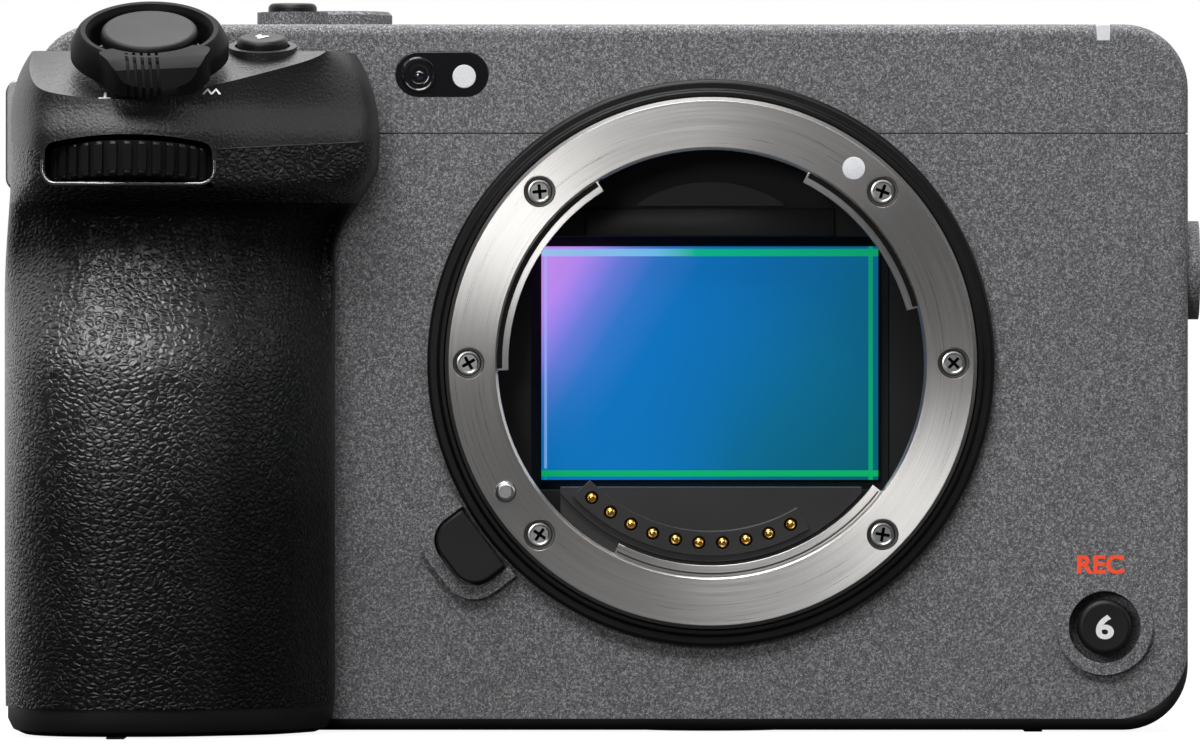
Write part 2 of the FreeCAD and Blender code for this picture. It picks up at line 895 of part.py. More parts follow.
def side_cover():
    right = size.body_right
    panel = common(casing_solid(0.0), block((right - size.wall, right + 1), (size.side_front, size.side_rear),
                                            (size.side_low, side_top())))
    well = right - size.port_depth
    along = (size.port_front - 1.2, size.port_rear + 1.2)
    wells = [block((well, right - 0.7), along, (low - 1.2, high + 1.2)) for low, high in port_spans()]
    hollows = [block((well + 1.2, right + 1), (size.port_front, size.port_rear), span)
               for span in port_spans()]
    rows = 13
    lowest = size.side_low + size.vent_margin
    pitch = (side_top() - size.vent_margin - lowest) / rows
    slots = [block((right - 4, right + 1), (size.side_front + 1.2, size.side_front + 2.4),
                   (lowest + pitch * row, lowest + pitch * (row + 0.65))) for row in range(rows)]
    jacks = [rod("X", place, 3.1, (right - 9, right - 5)) for place in jack_places()]
    plugs = [block((right - 9, right - 5), (y - 5.6, y + 5.6), (z - 3.2, z + 3.2)) for y, z in plug_places()]
    return node(cut(fuse(panel, *wells), *hollows, *slots, *jacks, *plugs), "side_cover")


def port_spans():
    return [(side_height(size.upper_port_low), side_height(size.upper_port_high)),
            (side_height(size.lower_port_low), side_height(size.lower_port_high))]


def socket_places(port):
    """Two places one above the other in a port, as (y, z)."""
    low, high = port_spans()[port]
    middle = (size.port_front + size.port_rear) / 2
    return [(middle, low + (high - low) * share) for share in (0.73, 0.27)]


def jack_places():
    """Microphone and headphone sockets."""
    return socket_places(0)


def plug_places():
    """Video and data sockets."""
    return socket_places(1)


def door_span():
    return ((size.battery_left - 1.2, size.battery_left + size.battery_width + 1.6),
            (size.battery_front - 1.6, size.battery_front + size.battery_depth + 1.6))


def door_room(top):
    """The battery door's opening, up to a height."""
    x, y = door_span()
    return block((x[0] - 0.25, x[1] + 0.25), (y[0] - 0.25, y[1] + 0.25), (size.body_base - 1, top))


def base_plate():
    low, top = size.body_base, size.grip_base_top
    floor = common(casing_solid(0.0), block(EVERYWHERE, (size.body_front, size.body_rear + 1),
                                            (low - 1, size.band_height)))
    sections = [(low.value, 1.9), (low.value + 0.5, 0.8), (low.value + 1.6, 0.25), (top.value, 0.25)]
    outlines = [closed_outline(handle_line(top.value, inset), height) for height, inset in sections]
    foot = Part.makeLoft(outlines, True, True)
    rise = Vector(0, 0, (top - low).value)
    hollow = Part.Face(closed_outline(handle_line(top.value, 3.0), size.band_height.value)).extrude(rise)
    lead = cut(made(foot, "GripFoot"), made(hollow, "FootHollow"), body_zone())
    return node(cut(
        fuse(floor, lead),
        door_room(top + 1),
        rod("Z", (0, 0), size.socket_radius + 0.02, (low - 1, low + 6)),
        *case_screw_holes(0),
        *case_screw_holes(1),
        *[rod("Z", place, 1.5, (low - 1, low + 0.7))
          for place in case_screw_places(0) + case_screw_places(1)],
    ), "base_plate")


def grip_head():
    low = size.grip_seam.value - 4.0
    in_front = block(EVERYWHERE, (-FAR, size.body_front), EVERYWHERE)
    hollow = common(head_block(size.head_wall.value, low - 1, size.head_wall.value), in_front)
    shell = cut(head_block(0.0, low, 0.0), hollow, seam_side(False))
    room = grip_solid(size.skin.value + size.grip_wall.value + 0.2)
    frame = cut(common(grip_solid(-0.12), slot_solid(size.slot_rim.value)), room)
    button = grip_button_seat()
    boss = turned([(0, 0), (size.button_ring, 0), (size.button_ring, BUTTON_SEAT), (0, BUTTON_SEAT)], button,
                  tilt(BUTTON_LEAN), "ButtonBoss")
    slope = tilt(size.slope_angle.value)
    seat_top = size.lever_base + LEVER_FOOT - 0.15
    seat = turned([(0, 0), (LEVER_SEAT_RADIUS, 0), (LEVER_SEAT_RADIUS, seat_top), (0, seat_top)],
                  on_slope(size.lever_x, size.lever_y, -LEVER_FOOT), slope, "LeverSeat")
    lever_hole = turned([(0, 0), (1.3, 0), (1.3, 9), (0, 9)],
                        on_slope(size.lever_x, size.lever_y, -6.0), slope,
                        "ShutterHole")
    clear = size.button_radius + 0.25
    button_pocket = turned([(0, 1.6), (clear, 1.6), (clear, 8), (0, 8)], button, tilt(BUTTON_LEAN),
                           "ButtonPocket")
    button_hole = turned([(0, -2), (1.1, -2), (1.1, 3), (0, 3)], button, tilt(BUTTON_LEAN), "ButtonHole")
    behind = block(EVERYWHERE, (size.grip_wrap, size.grip_wrap + FAR), EVERYWHERE)
    return node(cut(fuse(shell, frame, boss, seat), casing_solid(0.0), behind, slot_solid(0.0), dial_pocket(),
                    lever_hole, button_pocket, button_hole), "grip_head")


def tilt(angle):
    """Lean an upright piece forward by an angle."""
    return Rotation(Vector(1, 0, 0), angle)


def on_slope(x, y, lift):
    """A place above the sloping panel, measured along its normal."""
    angle = math.radians(size.slope_angle.value)
    height = size.head_top - (size.slope_start - y) * math.tan(angle)
    return x, y - lift * math.sin(angle), height + lift * math.cos(angle)


# Lean of the front dial and of the small button beside the lever, in degrees
DIAL_LEAN = -10.0
BUTTON_LEAN = 13.0
# Height of the small button's boss, and the foot and radius of the lever's seat
BUTTON_SEAT = 3.4
LEVER_FOOT = 3.0
LEVER_SEAT_RADIUS = 6.2
# Turn of the lever's thumb piece from straight ahead, in degrees
LOBE_TURN = 6.0


def grip_button_seat():
    """The foot of the small button's boss, found from the height of the boss's rim."""
    lean = math.radians(BUTTON_LEAN)
    foot = size.grip_button_z - BUTTON_SEAT * math.cos(lean)
    return size.grip_button_x, size.grip_button_y + BUTTON_SEAT * math.sin(lean), foot


def dial_middle():
    return size.dial_x, size.head_front + size.dial_radius - 1.3, size.dial_z


def dial_pocket():
    """Clear room round the front dial."""
    x, y, z = dial_middle()
    radius, half = size.dial_radius + 0.35, size.dial_width / 2 + 0.35
    return turned([(0, -half), (radius, -half), (radius, half), (0, half)], (x, y, z), tilt(DIAL_LEAN),
                  "DialPocket")


# Lens mount and what stands behind it

SCREW_ANGLES = [0, 45, 135, 180, 225, 315]
TAB_SPANS = [(15, 63), (122, 182), (243, 323)]


def mount_front():
    return -size.flange_distance


def mount_back():
    return mount_front() + size.ring_thickness


def on_screw_circle(angle):
    return polar(size.ring_radius - size.mount_screw_circle, angle)


def contact_circle():
    return size.throat_radius - size.contact_circle


def mount_ring():
    outer, thick = size.ring_radius, size.ring_thickness
    bore = size.throat_radius
    profile = [(bore, 0), (outer, 0), (outer, thick - 0.4), (outer - 0.4, thick), (bore + 0.3, thick),
               (bore, thick - 0.3)]
    body = turned(profile, (0, mount_back(), size.lens_height), "-Y", "MountRing")
    front = mount_front()
    tabs = [arc_block(size.tab_radius.value, size.throat_radius.value + 0.02, start, end,
                      (front.value + 0.1, front.value + size.tab_thickness.value)) for start, end in TAB_SPANS]
    pockets = []
    for angle in SCREW_ANGLES:
        place = on_screw_circle(angle)
        pockets.append(rod("Y", place, size.counterbore, (front - 1, front + size.counterbore_depth)))
        pockets.append(rod("Y", place, size.screw_shank, (front - 1, front + 4)))
    pockets.append(rod("Y", on_screw_circle(size.lock_angle), size.lock_radius + 0.05,
                       (front - 1, front + 4)))
    return node(cut(fuse(body, *tabs), *pockets), "mount_ring")


def mount_screws():
    screws = []
    floor = mount_front() + size.counterbore_depth
    for angle in SCREW_ANGLES:
        x, z = on_screw_circle(angle)
        head, shank = size.screw_head, size.screw_shank
        profile = [(0, -3.6), (shank, -3.6), (shank, 0), (head, 0), (head, 0.5), (head - 0.3, 0.75),
                   (0, 0.75)]
        body = turned(profile, (x, floor, z), "-Y", "MountScrew")
        slots = [block((x - wide, x + wide), (floor - 0.8, floor - 0.35), (z - tall, z + tall))
                 for wide, tall in ((0.85, 0.2), (0.2, 0.85))]
        screws.append(cut(body, *slots))
    return node(group(*screws), "mount_screws")


def mount_collar():
    step, top = size.collar_step, size.collar_height
    inner = size.ring_radius + 0.08
    profile = [(inner, 0), (size.collar_radius, 0), (size.collar_radius, top - 0.9),
               (size.collar_radius - 0.3, top - 0.6), (step, top - 0.6), (step - 0.2, top), (inner, top)]
    return node(turned(profile, (0, size.body_front, size.lens_height), "-Y", "MountCollar"), "mount_collar")


def lock_pin():
    front = mount_front()
    x, z = on_screw_circle(size.lock_angle)
    profile = [(0, 0), (size.lock_radius, 0), (size.lock_radius, 6.5), (size.lock_radius - 0.3, 6.8), (0, 6.8)]
    return node(turned(profile, (x, front + 5.9, z), "-Y", "LockPin"), "lock_pin")


def chassis_posts():
    """Four pillars from the front plate back to the main board."""
    back = size.chassis_front + size.chassis_plate
    high = size.chassis_high - size.post - 4.8
    beside_wells = size.body_right - size.port_depth - 0.5 - size.post
    corners = [(size.chassis_left + size.post, 20.0), (size.chassis_left + size.post, high),
               (29.0, 14.0), (beside_wells, high)]
    return [block((left, left + size.post), (back - 0.1, size.board_front), (low, low + size.post))
            for left, low in corners]


def chassis():
    front = size.chassis_front
    back = front + size.chassis_plate
    x = (size.chassis_left, size.chassis_right)
    plate = block(x, (front, back), (size.chassis_low, size.chassis_high - 0.2))
    boss = ring("Y", (0, size.lens_height), size.ring_radius - 0.05, size.boss_inner,
                (mount_back(), front + 0.1))
    posts = chassis_posts()
    saddle = block((-12, 12), (back - 0.1, 14), (size.socket_depth, size.socket_depth + 2.4))
    pin = on_screw_circle(size.lock_angle)
    screws = [rod("Y", on_screw_circle(angle), size.screw_shank, (mount_back() - 1, mount_back() + 2.25))
              for angle in SCREW_ANGLES]
    frame = cut(
        fuse(plate, boss, *posts, saddle),
        rod("Y", (0, size.lens_height), size.boss_inner, (front - 4, back + 1)),
        rod("Y", pin, size.lock_radius + 0.05, (front - 4, back + 1)),
        rod("Y", (size.rec_x, size.rec_z), size.rec_boss + 0.8, (front - 4, back + 1)),
        rod("X", (size.side_boss_y, size.side_boss_z), size.side_boss_radius + 0.5,
            (size.chassis_right - 4, size.chassis_right + 4)),
        block((size.window_x - 6.4, size.window_x + 6.4), (front - 1, back + 1),
              (size.window_z - 4.0, size.body_top)),
        casing_corner_trim(),
        *screws,
    )
    return node(frame, "chassis")


def casing_corner_trim():
    """What of a square frame would stick out through the casing's rounded corners."""
    around = block((size.chassis_left - 1, size.body_right + 1), (size.chassis_front, size.body_rear),
                   (0, size.body_top))
    return cut(around, casing_solid(size.wall + 0.25))


def light_baffle():
    outer, rear = size.boss_inner - 0.1, size.baffle_rear
    wall = size.baffle_wall
    lens = (0, size.lens_height)
    cup = cut(rod("Y", lens, outer, (mount_back() + 0.05, rear)),
              rod("Y", lens, outer - wall, (mount_back() - 1, rear - wall)))
    half, tall = size.frame_width / 2, size.frame_height / 2
    window = block((-half, half), (rear - 3, rear + 1), (size.lens_height - tall, size.lens_height + tall))
    return node(cut(cup, window), "light_baffle")


def contact_angle(index):
    return size.contact_first + size.contact_pitch * index


def contact_block():
    lens = (0, size.lens_height)
    inside = size.boss_inner - 0.1 - size.baffle_wall
    front, rear = size.block_front, size.block_rear
    chunk = common(rod("Y", lens, inside, (front, rear)),
                   block((-size.block_half, size.block_half), (front - 1, rear + 1),
                         (size.lens_height - 40, size.lens_height + size.block_top)))
    trim = ring("Y", lens, 40, size.tab_radius - 0.35, (front - 1, mount_back() + 0.1))
    middle = contact_circle().value
    strip = arc_block(middle - 1.25, middle + 1.35,
                      contact_angle(0).value - 4.5, contact_angle(9).value + 4.5,
                      (front.value - 0.6, front.value + 0.5))
    holes = [rod("Y", polar(contact_circle(), contact_angle(index)), size.contact_radius + 0.05,
                 (front - 2, front + 4.6)) for index in range(10)]
    return node(cut(fuse(cut(chunk, trim), strip), *holes), "contact_block")


def contact_pins():
    pins = []
    for index in range(10):
        x, z = polar(contact_circle(), contact_angle(index))
        radius = size.contact_radius
        profile = [(0, 0), (radius, 0), (radius, 4.4), (radius - 0.25, 4.8), (0, 4.9)]
        pins.append(turned(profile, (x, size.block_front + 3.8, z), "-Y", "ContactPin"))
    return node(group(*pins), "contact_pins")


def shutter_frame():
    front, back = size.shutter_front, size.shutter_front + size.shutter_depth
    half = size.shutter_half
    low, high = size.lens_height + size.shutter_low, size.lens_height + size.shutter_high
    wide, tall = size.frame_width / 2 + 0.2, size.frame_height / 2 + 0.2
    return node(cut(
        block((-half, half), (front, back), (low, high)),
        block((-wide, wide), (front - 1, back + 1), (size.lens_height - tall, size.lens_height + tall)),
        block((-half + 2.8, half - 2.8), (blade_front(0) - 0.2, blade_front(1) + size.blade_thickness + 0.2),
              (low + 1.2, high - 1.2)),
    ), "shutter_frame")


def blade_front(index):
    return size.shutter_front + 1.1 + 0.55 * index


def shutter_blade(index, label):
    low = size.lens_height + size.frame_height / 2 + 0.3
    front = blade_front(index)
    blade = block((-size.shutter_half + 3.2, size.shutter_half - 3.2), (front, front + size.blade_thickness),
                  (low, low + size.blade_height))
    return node(blade, label)


def sensor_parts():
    half, tall = size.stage_width / 2, size.stage_height / 2
    middle = size.lens_height
    front, back = -0.6, size.stage_rear
    plate = block((-half, half), (front, back), (middle - tall, middle + tall))
    glass_half, glass_tall = size.sensor_width / 2 + 0.6, size.sensor_height / 2 + 0.85
    package = block((-glass_half - 1.2, glass_half + 1.2), (-1.6, -0.6),
                    (middle - glass_tall - 1.2, middle + glass_tall + 1.2))
    node(fuse(plate, package), "sensor_stage")
    glass = block((-glass_half, glass_half), (size.stage_front, -1.6),
                  (middle - glass_tall, middle + glass_tall))
    node(glass, "sensor_glass")
    travel = size.stage_travel + 0.15
    wide, high = half + travel, tall + 0.15
    wall = size.carrier_wall
    carrier = cut(block((-wide - wall, wide + wall), (front, back),
                        (middle - high - wall, middle + high + wall)),
                  block((-wide, wide), (front - 1, back + 1), (middle - high, middle + high)))
    node(carrier, "stabiliser_carrier")


def heat_sink():
    front = size.sink_front
    left, right = size.chassis_left + size.post + 2.0, size.sink_right
    middle, half, fin_half = size.lens_height, 28.0, 19.0
    plate = block((left, right), (front, front + 2.4), (middle - half, middle + half))
    fins = [block((left + 5 + 4.2 * row, left + 6 + 4.2 * row), (front + 2.3, front + 5.4),
                  (middle - fin_half, middle + fin_half)) for row in range(14)]
    return node(cut(fuse(plate, *fins), *chassis_posts()), "heat_sink")


def fan_parts():
    x, z = size.fan_x, size.fan_z
    front = size.sink_front + 5.5
    radius, depth = size.fan_radius, size.fan_depth
    box = block((x - radius - 2, x + radius + 2), (front, front + depth), (z - radius - 2, z + radius + 2))
    scroll = rod("Y", (x, z), radius + 0.6, (front + 1.2, front + depth - 1.2))
    outlet = block((x, x + radius + 3), (front + 1.2, front + depth - 1.2), (z, z + radius + 0.6))
    eye = rod("Y", (x, z), radius * 0.62, (front + 4, front + depth + 1))
    spindle = rod("Y", (x, z), 1.0, (front, front + depth - 2.4))
    node(fuse(cut(box, scroll, outlet, eye), spindle), "fan_housing")
    hub = rod("Y", (x, z), 5.0, (front + 1.6, front + depth - 1.8))
    blades = []
    for index in range(11):
        blade = Part.makeBox(radius.value - 4.7, (depth - 3.4).value, 0.8,
                             Vector(4.4, (front + 1.6).value, -0.4))
        blade.rotate(Vector(), Vector(0, 1, 0), index * 360 / 11)
        blade.translate(Vector(x.value, 0, z.value))
        blades.append(made(blade, "FanBlade"))
    bore = rod("Y", (x, z), 1.05, (front, front + depth))
    node(cut(fuse(hub, *blades), bore), "fan_rotor")


def main_board():
    front = size.board_front
    back = front + size.board_thickness
    board = block((size.chassis_left + size.post, size.board_right), (front, back), (7.0, 69.0))
    chips = [block((x, x + wide), (back - 0.1, back + 1.4), (z, z + tall))
             for x, z, wide, tall in ((-20, 34, 18, 18), (4, 36, 12, 12), (4, 20, 9, 7), (20, 40, 14, 11), (-24, 14, 16, 8))]
    sockets = [block((size.board_right - 9, size.board_right - 2), (back - 0.1, back + 2.2), (z, z + 6))
               for z in (12, 52)]
    return node(fuse(board, *chips, *sockets), "main_board")


# Battery, card slots, sockets and small fixed pieces

def battery_box(extra):
    left, front, low = size.battery_left - extra, size.battery_front - extra, size.battery_low
    return ((left, size.battery_left + size.battery_width + extra),
            (front, size.battery_front + size.battery_depth + extra), (low, low + size.battery_height + extra))


def battery():
    x, y, z = battery_box(0.0)
    body = slab("XY_Plane", [(x[0], y[0]), (x[1], y[0]), (x[1], y[1]), (x[0], y[1])], z, "Battery")
    round_edges(body, 2.0, edge_along("Z"), "BatteryCorners")
    return node(body, "battery")


def battery_case():
    x, y, z = battery_box(size.case_wall)
    inner_x, inner_y, inner_z = battery_box(0.15)
    outer = block(x, y, (z[0] + 0.4, z[1]))
    room = grip_solid(size.skin.value + size.grip_wall.value + 0.15)
    beyond = cut(block((x[0] - 2, x[1] + 2), (y[0] - 2, size.body_front), (z[0] - 2, z[1] + 2)), room)
    shell = cut(outer, block(inner_x, inner_y, (inner_z[0] - 1, inner_z[1])))
    return node(cut(shell, beyond), "battery_case")


def card_slots():
    case = size.case_wall
    front = size.battery_front + size.battery_depth + case + 0.3
    module = block((size.body_left + 5.4, -46.0), (front, front + 11.0),
                   (size.card_low + 1, size.card_high - 1))
    slots = [block((size.body_left, -49.0), (front + 1.6 + 4.6 * index, front + 3.8 + 4.6 * index),
                   (size.card_low + 5, size.card_high - 5)) for index in range(2)]
    return node(cut(module, *slots), "card_slots")


def accessory_shoe():
    half, plate = size.shoe_slot / 2, size.shoe_plate
    floor = shoe_floor()
    y = (size.shoe_y - 1.4, size.body_rear - 1.0)
    high = floor + plate + size.shoe_gap
    base = block((-half - plate, half + plate), y, (floor, floor + plate))
    walls = [block(span, y, (floor, high + 0.1)) for span in ((-half - plate, -half), (half, half + plate))]
    rail_spans = ((-half - plate, -size.shoe_mouth / 2), (size.shoe_mouth / 2, half + plate))
    rails = [block(span, y, (high, high + 0.7)) for span in rail_spans]
    stop = block((-half, half), (size.shoe_y - 1.4, size.shoe_y), (floor, high))
    return node(fuse(base, *walls, *rails, stop), "accessory_shoe")


def thread_inserts():
    top = size.body_top
    inserts = [insert_shape("Z", place, (top - 5.6, top)) for place in thread_places()]
    inserts.append(insert_shape("X", (size.side_boss_y, size.side_boss_z),
                                (size.body_right + size.side_boss_height - 5.5,
                                 size.body_right + size.side_boss_height)))
    return node(group(*inserts), "thread_inserts")


def insert_shape(axis, place, along):
    return ring(axis, place, size.insert_radius, size.thread_radius, along)


def tripod_socket():
    flange, hub = size.socket_radius, 5.6
    bore, depth = size.thread_radius, size.thread_depth
    profile = [(bore, 0), (flange - 0.5, 0), (flange, 0.5), (flange, 2.6), (hub, 2.6),
               (hub, size.socket_depth),
               (0, size.socket_depth), (0, depth), (bore, depth)]
    return node(turned(profile, (0, 0, 0), "Z", "TripodSocket"), "tripod_socket")


def feet():
    low = size.body_base
    places = [(-63.5, -36.5), (35.0, -9.0), (-63.5, 22.0), (35.0, 25.0)]
    pads = [block((x - 1.0, x + 1.0), (y - 3.0, y + 3.0), (0, low)) for x, y in places]
    return node(group(*pads), "feet")


def strap_lugs():
    left, end = size.body_left, size.body_left - size.lug_reach
    low, high = size.lug_z - size.lug_height / 2, size.lug_z + size.lug_height / 2
    outline = [(left, low), (left, high), (end, high), (end, low)]
    across = (size.lug_y - size.lug_width / 2, size.lug_y + size.lug_width / 2)
    plate = slab("XZ_Plane", outline, across, "Lug")
    outer = edge_along("Y", lambda box: box.Center.x < end.value + 0.01)
    round_edges(plate, 1.6, outer, "LugCorners")
    eye = block((left - 0.7 - size.lug_eye_width, left - 0.7), (size.lug_y - 5, size.lug_y + 5),
                (size.lug_z - size.lug_eye_height / 2, size.lug_z + size.lug_eye_height / 2))
    return node(cut(plate, eye), "strap_lug")


def front_windows():
    """The receiver window with its lens, and the clear lamp bar."""
    face = size.body_front
    lamp = common(lamp_solid(-0.02), casing_solid(0.05))
    pane = window_solid(0.0, (face - 0.0, face + 2.2))
    lens = rod("Y", (size.window_x - 2.6, size.window_z), 1.8, (face - 0.25, face + 0.2))
    return node(group(fuse(pane, lens), lamp), "front_windows")


def case_screw_places(row):
    """Screws through the base into the front (row 0) or rear (row 1) cover, in plan."""
    y = (size.body_front + size.wall + 2.0, size.body_rear - size.wall - 2.0)[row]
    return [(x, y) for x in (size.body_right - 8.4, 18.0, -38.0)]


def case_screw_bosses(row):
    span = (size.band_height, size.chassis_low - 0.2)
    return [rod("Z", place, 2.2, span) for place in case_screw_places(row)]


def case_screw_holes(row):
    span = (size.body_base, size.chassis_low - 0.6)
    return [rod("Z", place, 0.8, span) for place in case_screw_places(row)]


def housing_screws():
    screws = []
    base = size.body_base
    for x, y in case_screw_places(0) + case_screw_places(1):
        profile = [(0, 0.1), (1.45, 0.1), (1.45, 0.7), (0.8, 0.7), (0.8, 3.6), (0, 3.6)]
        body = turned(profile, (x, y, base), "Z", "CaseScrew")
        slots = [block((x - wide, x + wide), (y - tall, y + tall), (base - 0.1, base + 0.4))
                 for wide, tall in ((0.9, 0.2), (0.2, 0.9))]
        screws.append(cut(body, *slots))
    return node(group(*screws), "housing_screws")


def connectors():
    right = size.body_right
    bodies = []
    for y, z in jack_places():
        barrel = ring("X", (y, z), 3.1, size.jack_radius, (right - 17.0, right - 6.0))
        bodies.append(barrel)
    for (y, z), (wide, tall) in zip(plug_places(), ((7.2, 2.4), (4.6, 1.6))):
        shell = block((right - 16.0, right - 6.4), (y - 5.6, y + 5.6), (z - 3.2, z + 3.2))
        mouth = block((right - 14.0, right - 6), (y - wide / 2 - 1.6, y + wide / 2 + 1.6),
                      (z - tall / 2 - 0.4, z + tall / 2 + 0.4))
        tongue = block((right - 15.0, right - 8), (y - wide / 2, y + wide / 2), (z - 0.35, z + 0.35))
        bodies.append(fuse(cut(shell, mouth), tongue))
    return node(group(*bodies), "connectors")


# Controls

def button(label, radius, place, facing, height, stem=4.0, stem_radius=0.95):
    profile = [(0, -stem), (stem_radius, -stem), (stem_radius, 0), (radius, 0), (radius, height - 0.35),
               (radius - 0.35, height), (0, height - 0.05)]
    return node(turned(profile, place, facing, "Button"), label)


def lever_lobe(inset):
    """The lever's thumb piece in its own frame, upright, with its face sloping down to the tip."""
    base, top = size.lever_base.value, size.lever_height.value
    radius = size.lever_radius.value
    plan = [(-5.6, -6.2), (-4.9, -7.9), (-4.1, -radius - 0.9), (-2.8, -radius - 1.6), (0.0, -radius - 1.9),
            (2.8, -radius - 1.7), (4.3, -radius - 1.0), (5.3, -7.9), (6.0, -6.0), (4.0, -4.6), (-4.0, -4.6)]
    foot = closed_outline([(x, y + inset) for x, y in plan], base)
    solid = Part.Face(foot).extrude(Vector(0, 0, top - base))
    tip = -radius - 2.1 + inset
    side = [Vector(-8, -3, base), Vector(-8, tip, base), Vector(-8, tip + 0.2, base + 0.9),
            Vector(-8, tip + 1.4, top - 0.6 - inset), Vector(-8, tip + 3.0, top - inset),
            Vector(-8, -3, top - inset)]
    wedge = Part.Face(Part.makePolygon(side + [side[0]])).extrude(Vector(16, 0, 0))
    return solid.common(wedge)


def zoom_lever():
    """A dished ring with a ribbed thumb piece at its front."""
    base, top, outer, bore = size.lever_base, size.lever_height, size.lever_radius, size.lever_bore
    place, slope = on_slope(size.lever_x, size.lever_y, 0.0), tilt(size.slope_angle.value)
    profile = [(bore, base), (outer - 0.3, base), (outer, base + 0.3), (outer, base + 1.7),
               (outer - 0.7, top - 0.3), (outer - 1.1, top), (outer - 1.6, top - 0.05), (bore, top - 0.9)]
    ring_part = turned(profile, place, slope, "ZoomLever")
    lobe = lever_lobe(0.0)
    for index in range(5):
        lobe = lobe.cut(Part.makeBox(0.34, 8, 8, Vector(-3.1 + 0.8 * index, -14, -1)))
    lobe = lobe.fuse(lever_lobe(0.35))
    lobe.rotate(Vector(), Vector(0, 0, 1), LOBE_TURN)
    lobe = lobe.cut(Part.makeCylinder(bore.value, 12, Vector(0, 0, -2)))
    lobe.Placement = Placement(Vector(*[as_size(number).value for number in place]), slope) * lobe.Placement
    return node(fuse(ring_part, made(lobe, "LeverLobe")), "zoom_lever")


def grip_controls():
    zoom_lever()
    button("shutter_button", size.shutter_button_radius, on_slope(size.lever_x, size.lever_y, 3.3),
           tilt(size.slope_angle.value), 1.5, 7.0, 1.2)
    x, y, z = grip_button_seat()
    lean = math.radians(BUTTON_LEAN)
    raised = 2.6
    button("grip_button", size.button_radius, (x, y - raised * math.sin(lean), z + raised * math.cos(lean)),
           tilt(BUTTON_LEAN), 1.3 + 0.5, raised)


def ribbed_wheel(radius, half, count, place, turn, name, hole=0.0):
    """A wheel whose rim carries evenly spaced notches."""
    inner = [(hole, -half), (radius - 0.5, -half), (radius, -half + 0.5), (radius, half - 0.5),
             (radius - 0.5, half),
             (hole, half)]
    body = turned(inner, (0, 0, 0), "Z", name)
    width = 3.1416 * as_size(radius).value / count * 0.42
    depth = 0.55
    corners = [(radius - depth, -width), (radius + 1, -width), (radius + 1, width), (radius - depth, width)]
    notch = sketch_in(body, "XY_Plane", corners)
    pocket = body.newObject("PartDesign::Pocket", name + "Notch")
    pocket.Profile = notch
    pocket.Type = 1
    pocket.Midplane = True
    DOC.recompute()
    pattern = body.newObject("PartDesign::PolarPattern", name + "Notches")
    pattern.Originals = [pocket]
    pattern.Axis = (notch, ["N_Axis"])
    pattern.Angle = 360
    pattern.Occurrences = count
    body.Tip = pattern
    return put(body, *place, turn)


def wheels():
    x, y, z = dial_middle()
    dial = ribbed_wheel(size.dial_radius, size.dial_width / 2, 38, (x, y, z), tilt(DIAL_LEAN), "FrontDial")
    node(dial, "front_dial")
    half = size.rear_dial_width / 2
    place = (size.rear_dial_x, size.rear_dial_y, size.rear_dial_z + half)
    node(ribbed_wheel(size.rear_dial_radius, half, 40, place, Rotation(), "RearDial"), "rear_dial")
    middle = (size.wheel_x, size.body_rear + 0.9, size.wheel_z)
    wheel = ribbed_wheel(size.wheel_radius, 1.35, 44, middle, AXIS_TURN["Y"], "ControlWheel", size.wheel_hole)
    node(wheel, "control_wheel")
    middle = (size.wheel_x, size.body_rear + 1.1, size.wheel_z)
    button("wheel_button", size.wheel_hole - 0.25, middle, "Y", 1.9)


def joystick():
    profile = [(0, -3.0), (1.1, -3.0), (1.1, 1.2), (size.stick_radius - 0.8, 1.2), (size.stick_radius, 2.0),
               (size.stick_radius - 0.4, 3.4), (size.stick_radius - 1.4, 3.9), (0, 3.5)]
    return node(turned(profile, (size.stick_x, size.body_rear, size.stick_z), "Y", "Joystick"), "joystick")


def top_controls():
    top = size.body_top
    button("top_record_button", size.top_cap_radius, (size.top_rec_x, size.top_rec_y, top + 0.2), "Z", 2.3)
    button("top_button", 2.7, (size.top_button_x, size.top_button_y, top - 0.4), "Z", 1.1)
    button("function_button", 2.35, (size.function_x, size.body_rear - 0.2, size.function_z), "Y", 1.2)
    radius, high = size.power_radius, size.power_height
    disc = turned([(0, -6), (1.5, -6), (1.5, 0.1), (radius, 0.1), (radius, high - 0.4), (radius - 0.4, high),
                   (0, high)],
                  (size.power_x, size.power_y, top), "Z", "PowerLever")
    tab = block((size.power_x - 1.3, size.power_x + 1.3), (size.power_y + 3, size.power_y + radius + 4.0),
                (top + 0.1, top + high))
    node(fuse(disc, tab), "power_lever")


def front_record_button():
    face = size.body_front
    place = (size.rec_x, face + 0.9, size.rec_z)
    return button("front_record_button", size.rec_radius, place, "-Y", 2.15, 3.4, 1.2)


def thumb_rest():
    rear, depth, left = size.body_rear.value, size.thumb_depth.value, size.body_left.value
    wires = []
    for share, shrink in ((0.0, 0.0), (0.45, 0.35), (0.8, 1.3), (1.0, 3.2)):
        points = [(left + 1.2, 47.0), (left + 1.4, 36.0), (left + 5.0, 31.0), (left + 10.5, 32.0),
                  (left + 13.0, 40.0), (left + 14.0, 52.0), (left + 12.5, 60.0), (left + 7.0, 63.0), (left + 2.4, 59.0)]
        outline = moved_in(points, shrink)
        places = [Vector(x, rear + depth * share, z) for x, z in outline]
        curve = Part.BSplineCurve()
        steps = [float(index) for index in range(len(points) + 1)]
        curve.interpolate(Points=places, PeriodicFlag=True, Parameters=steps)
        wires.append(Part.Wire([curve.toShape()]))
    return node(made(Part.makeLoft(wires, True, False), "ThumbRest"), "thumb_rest")


# Monitor and doors

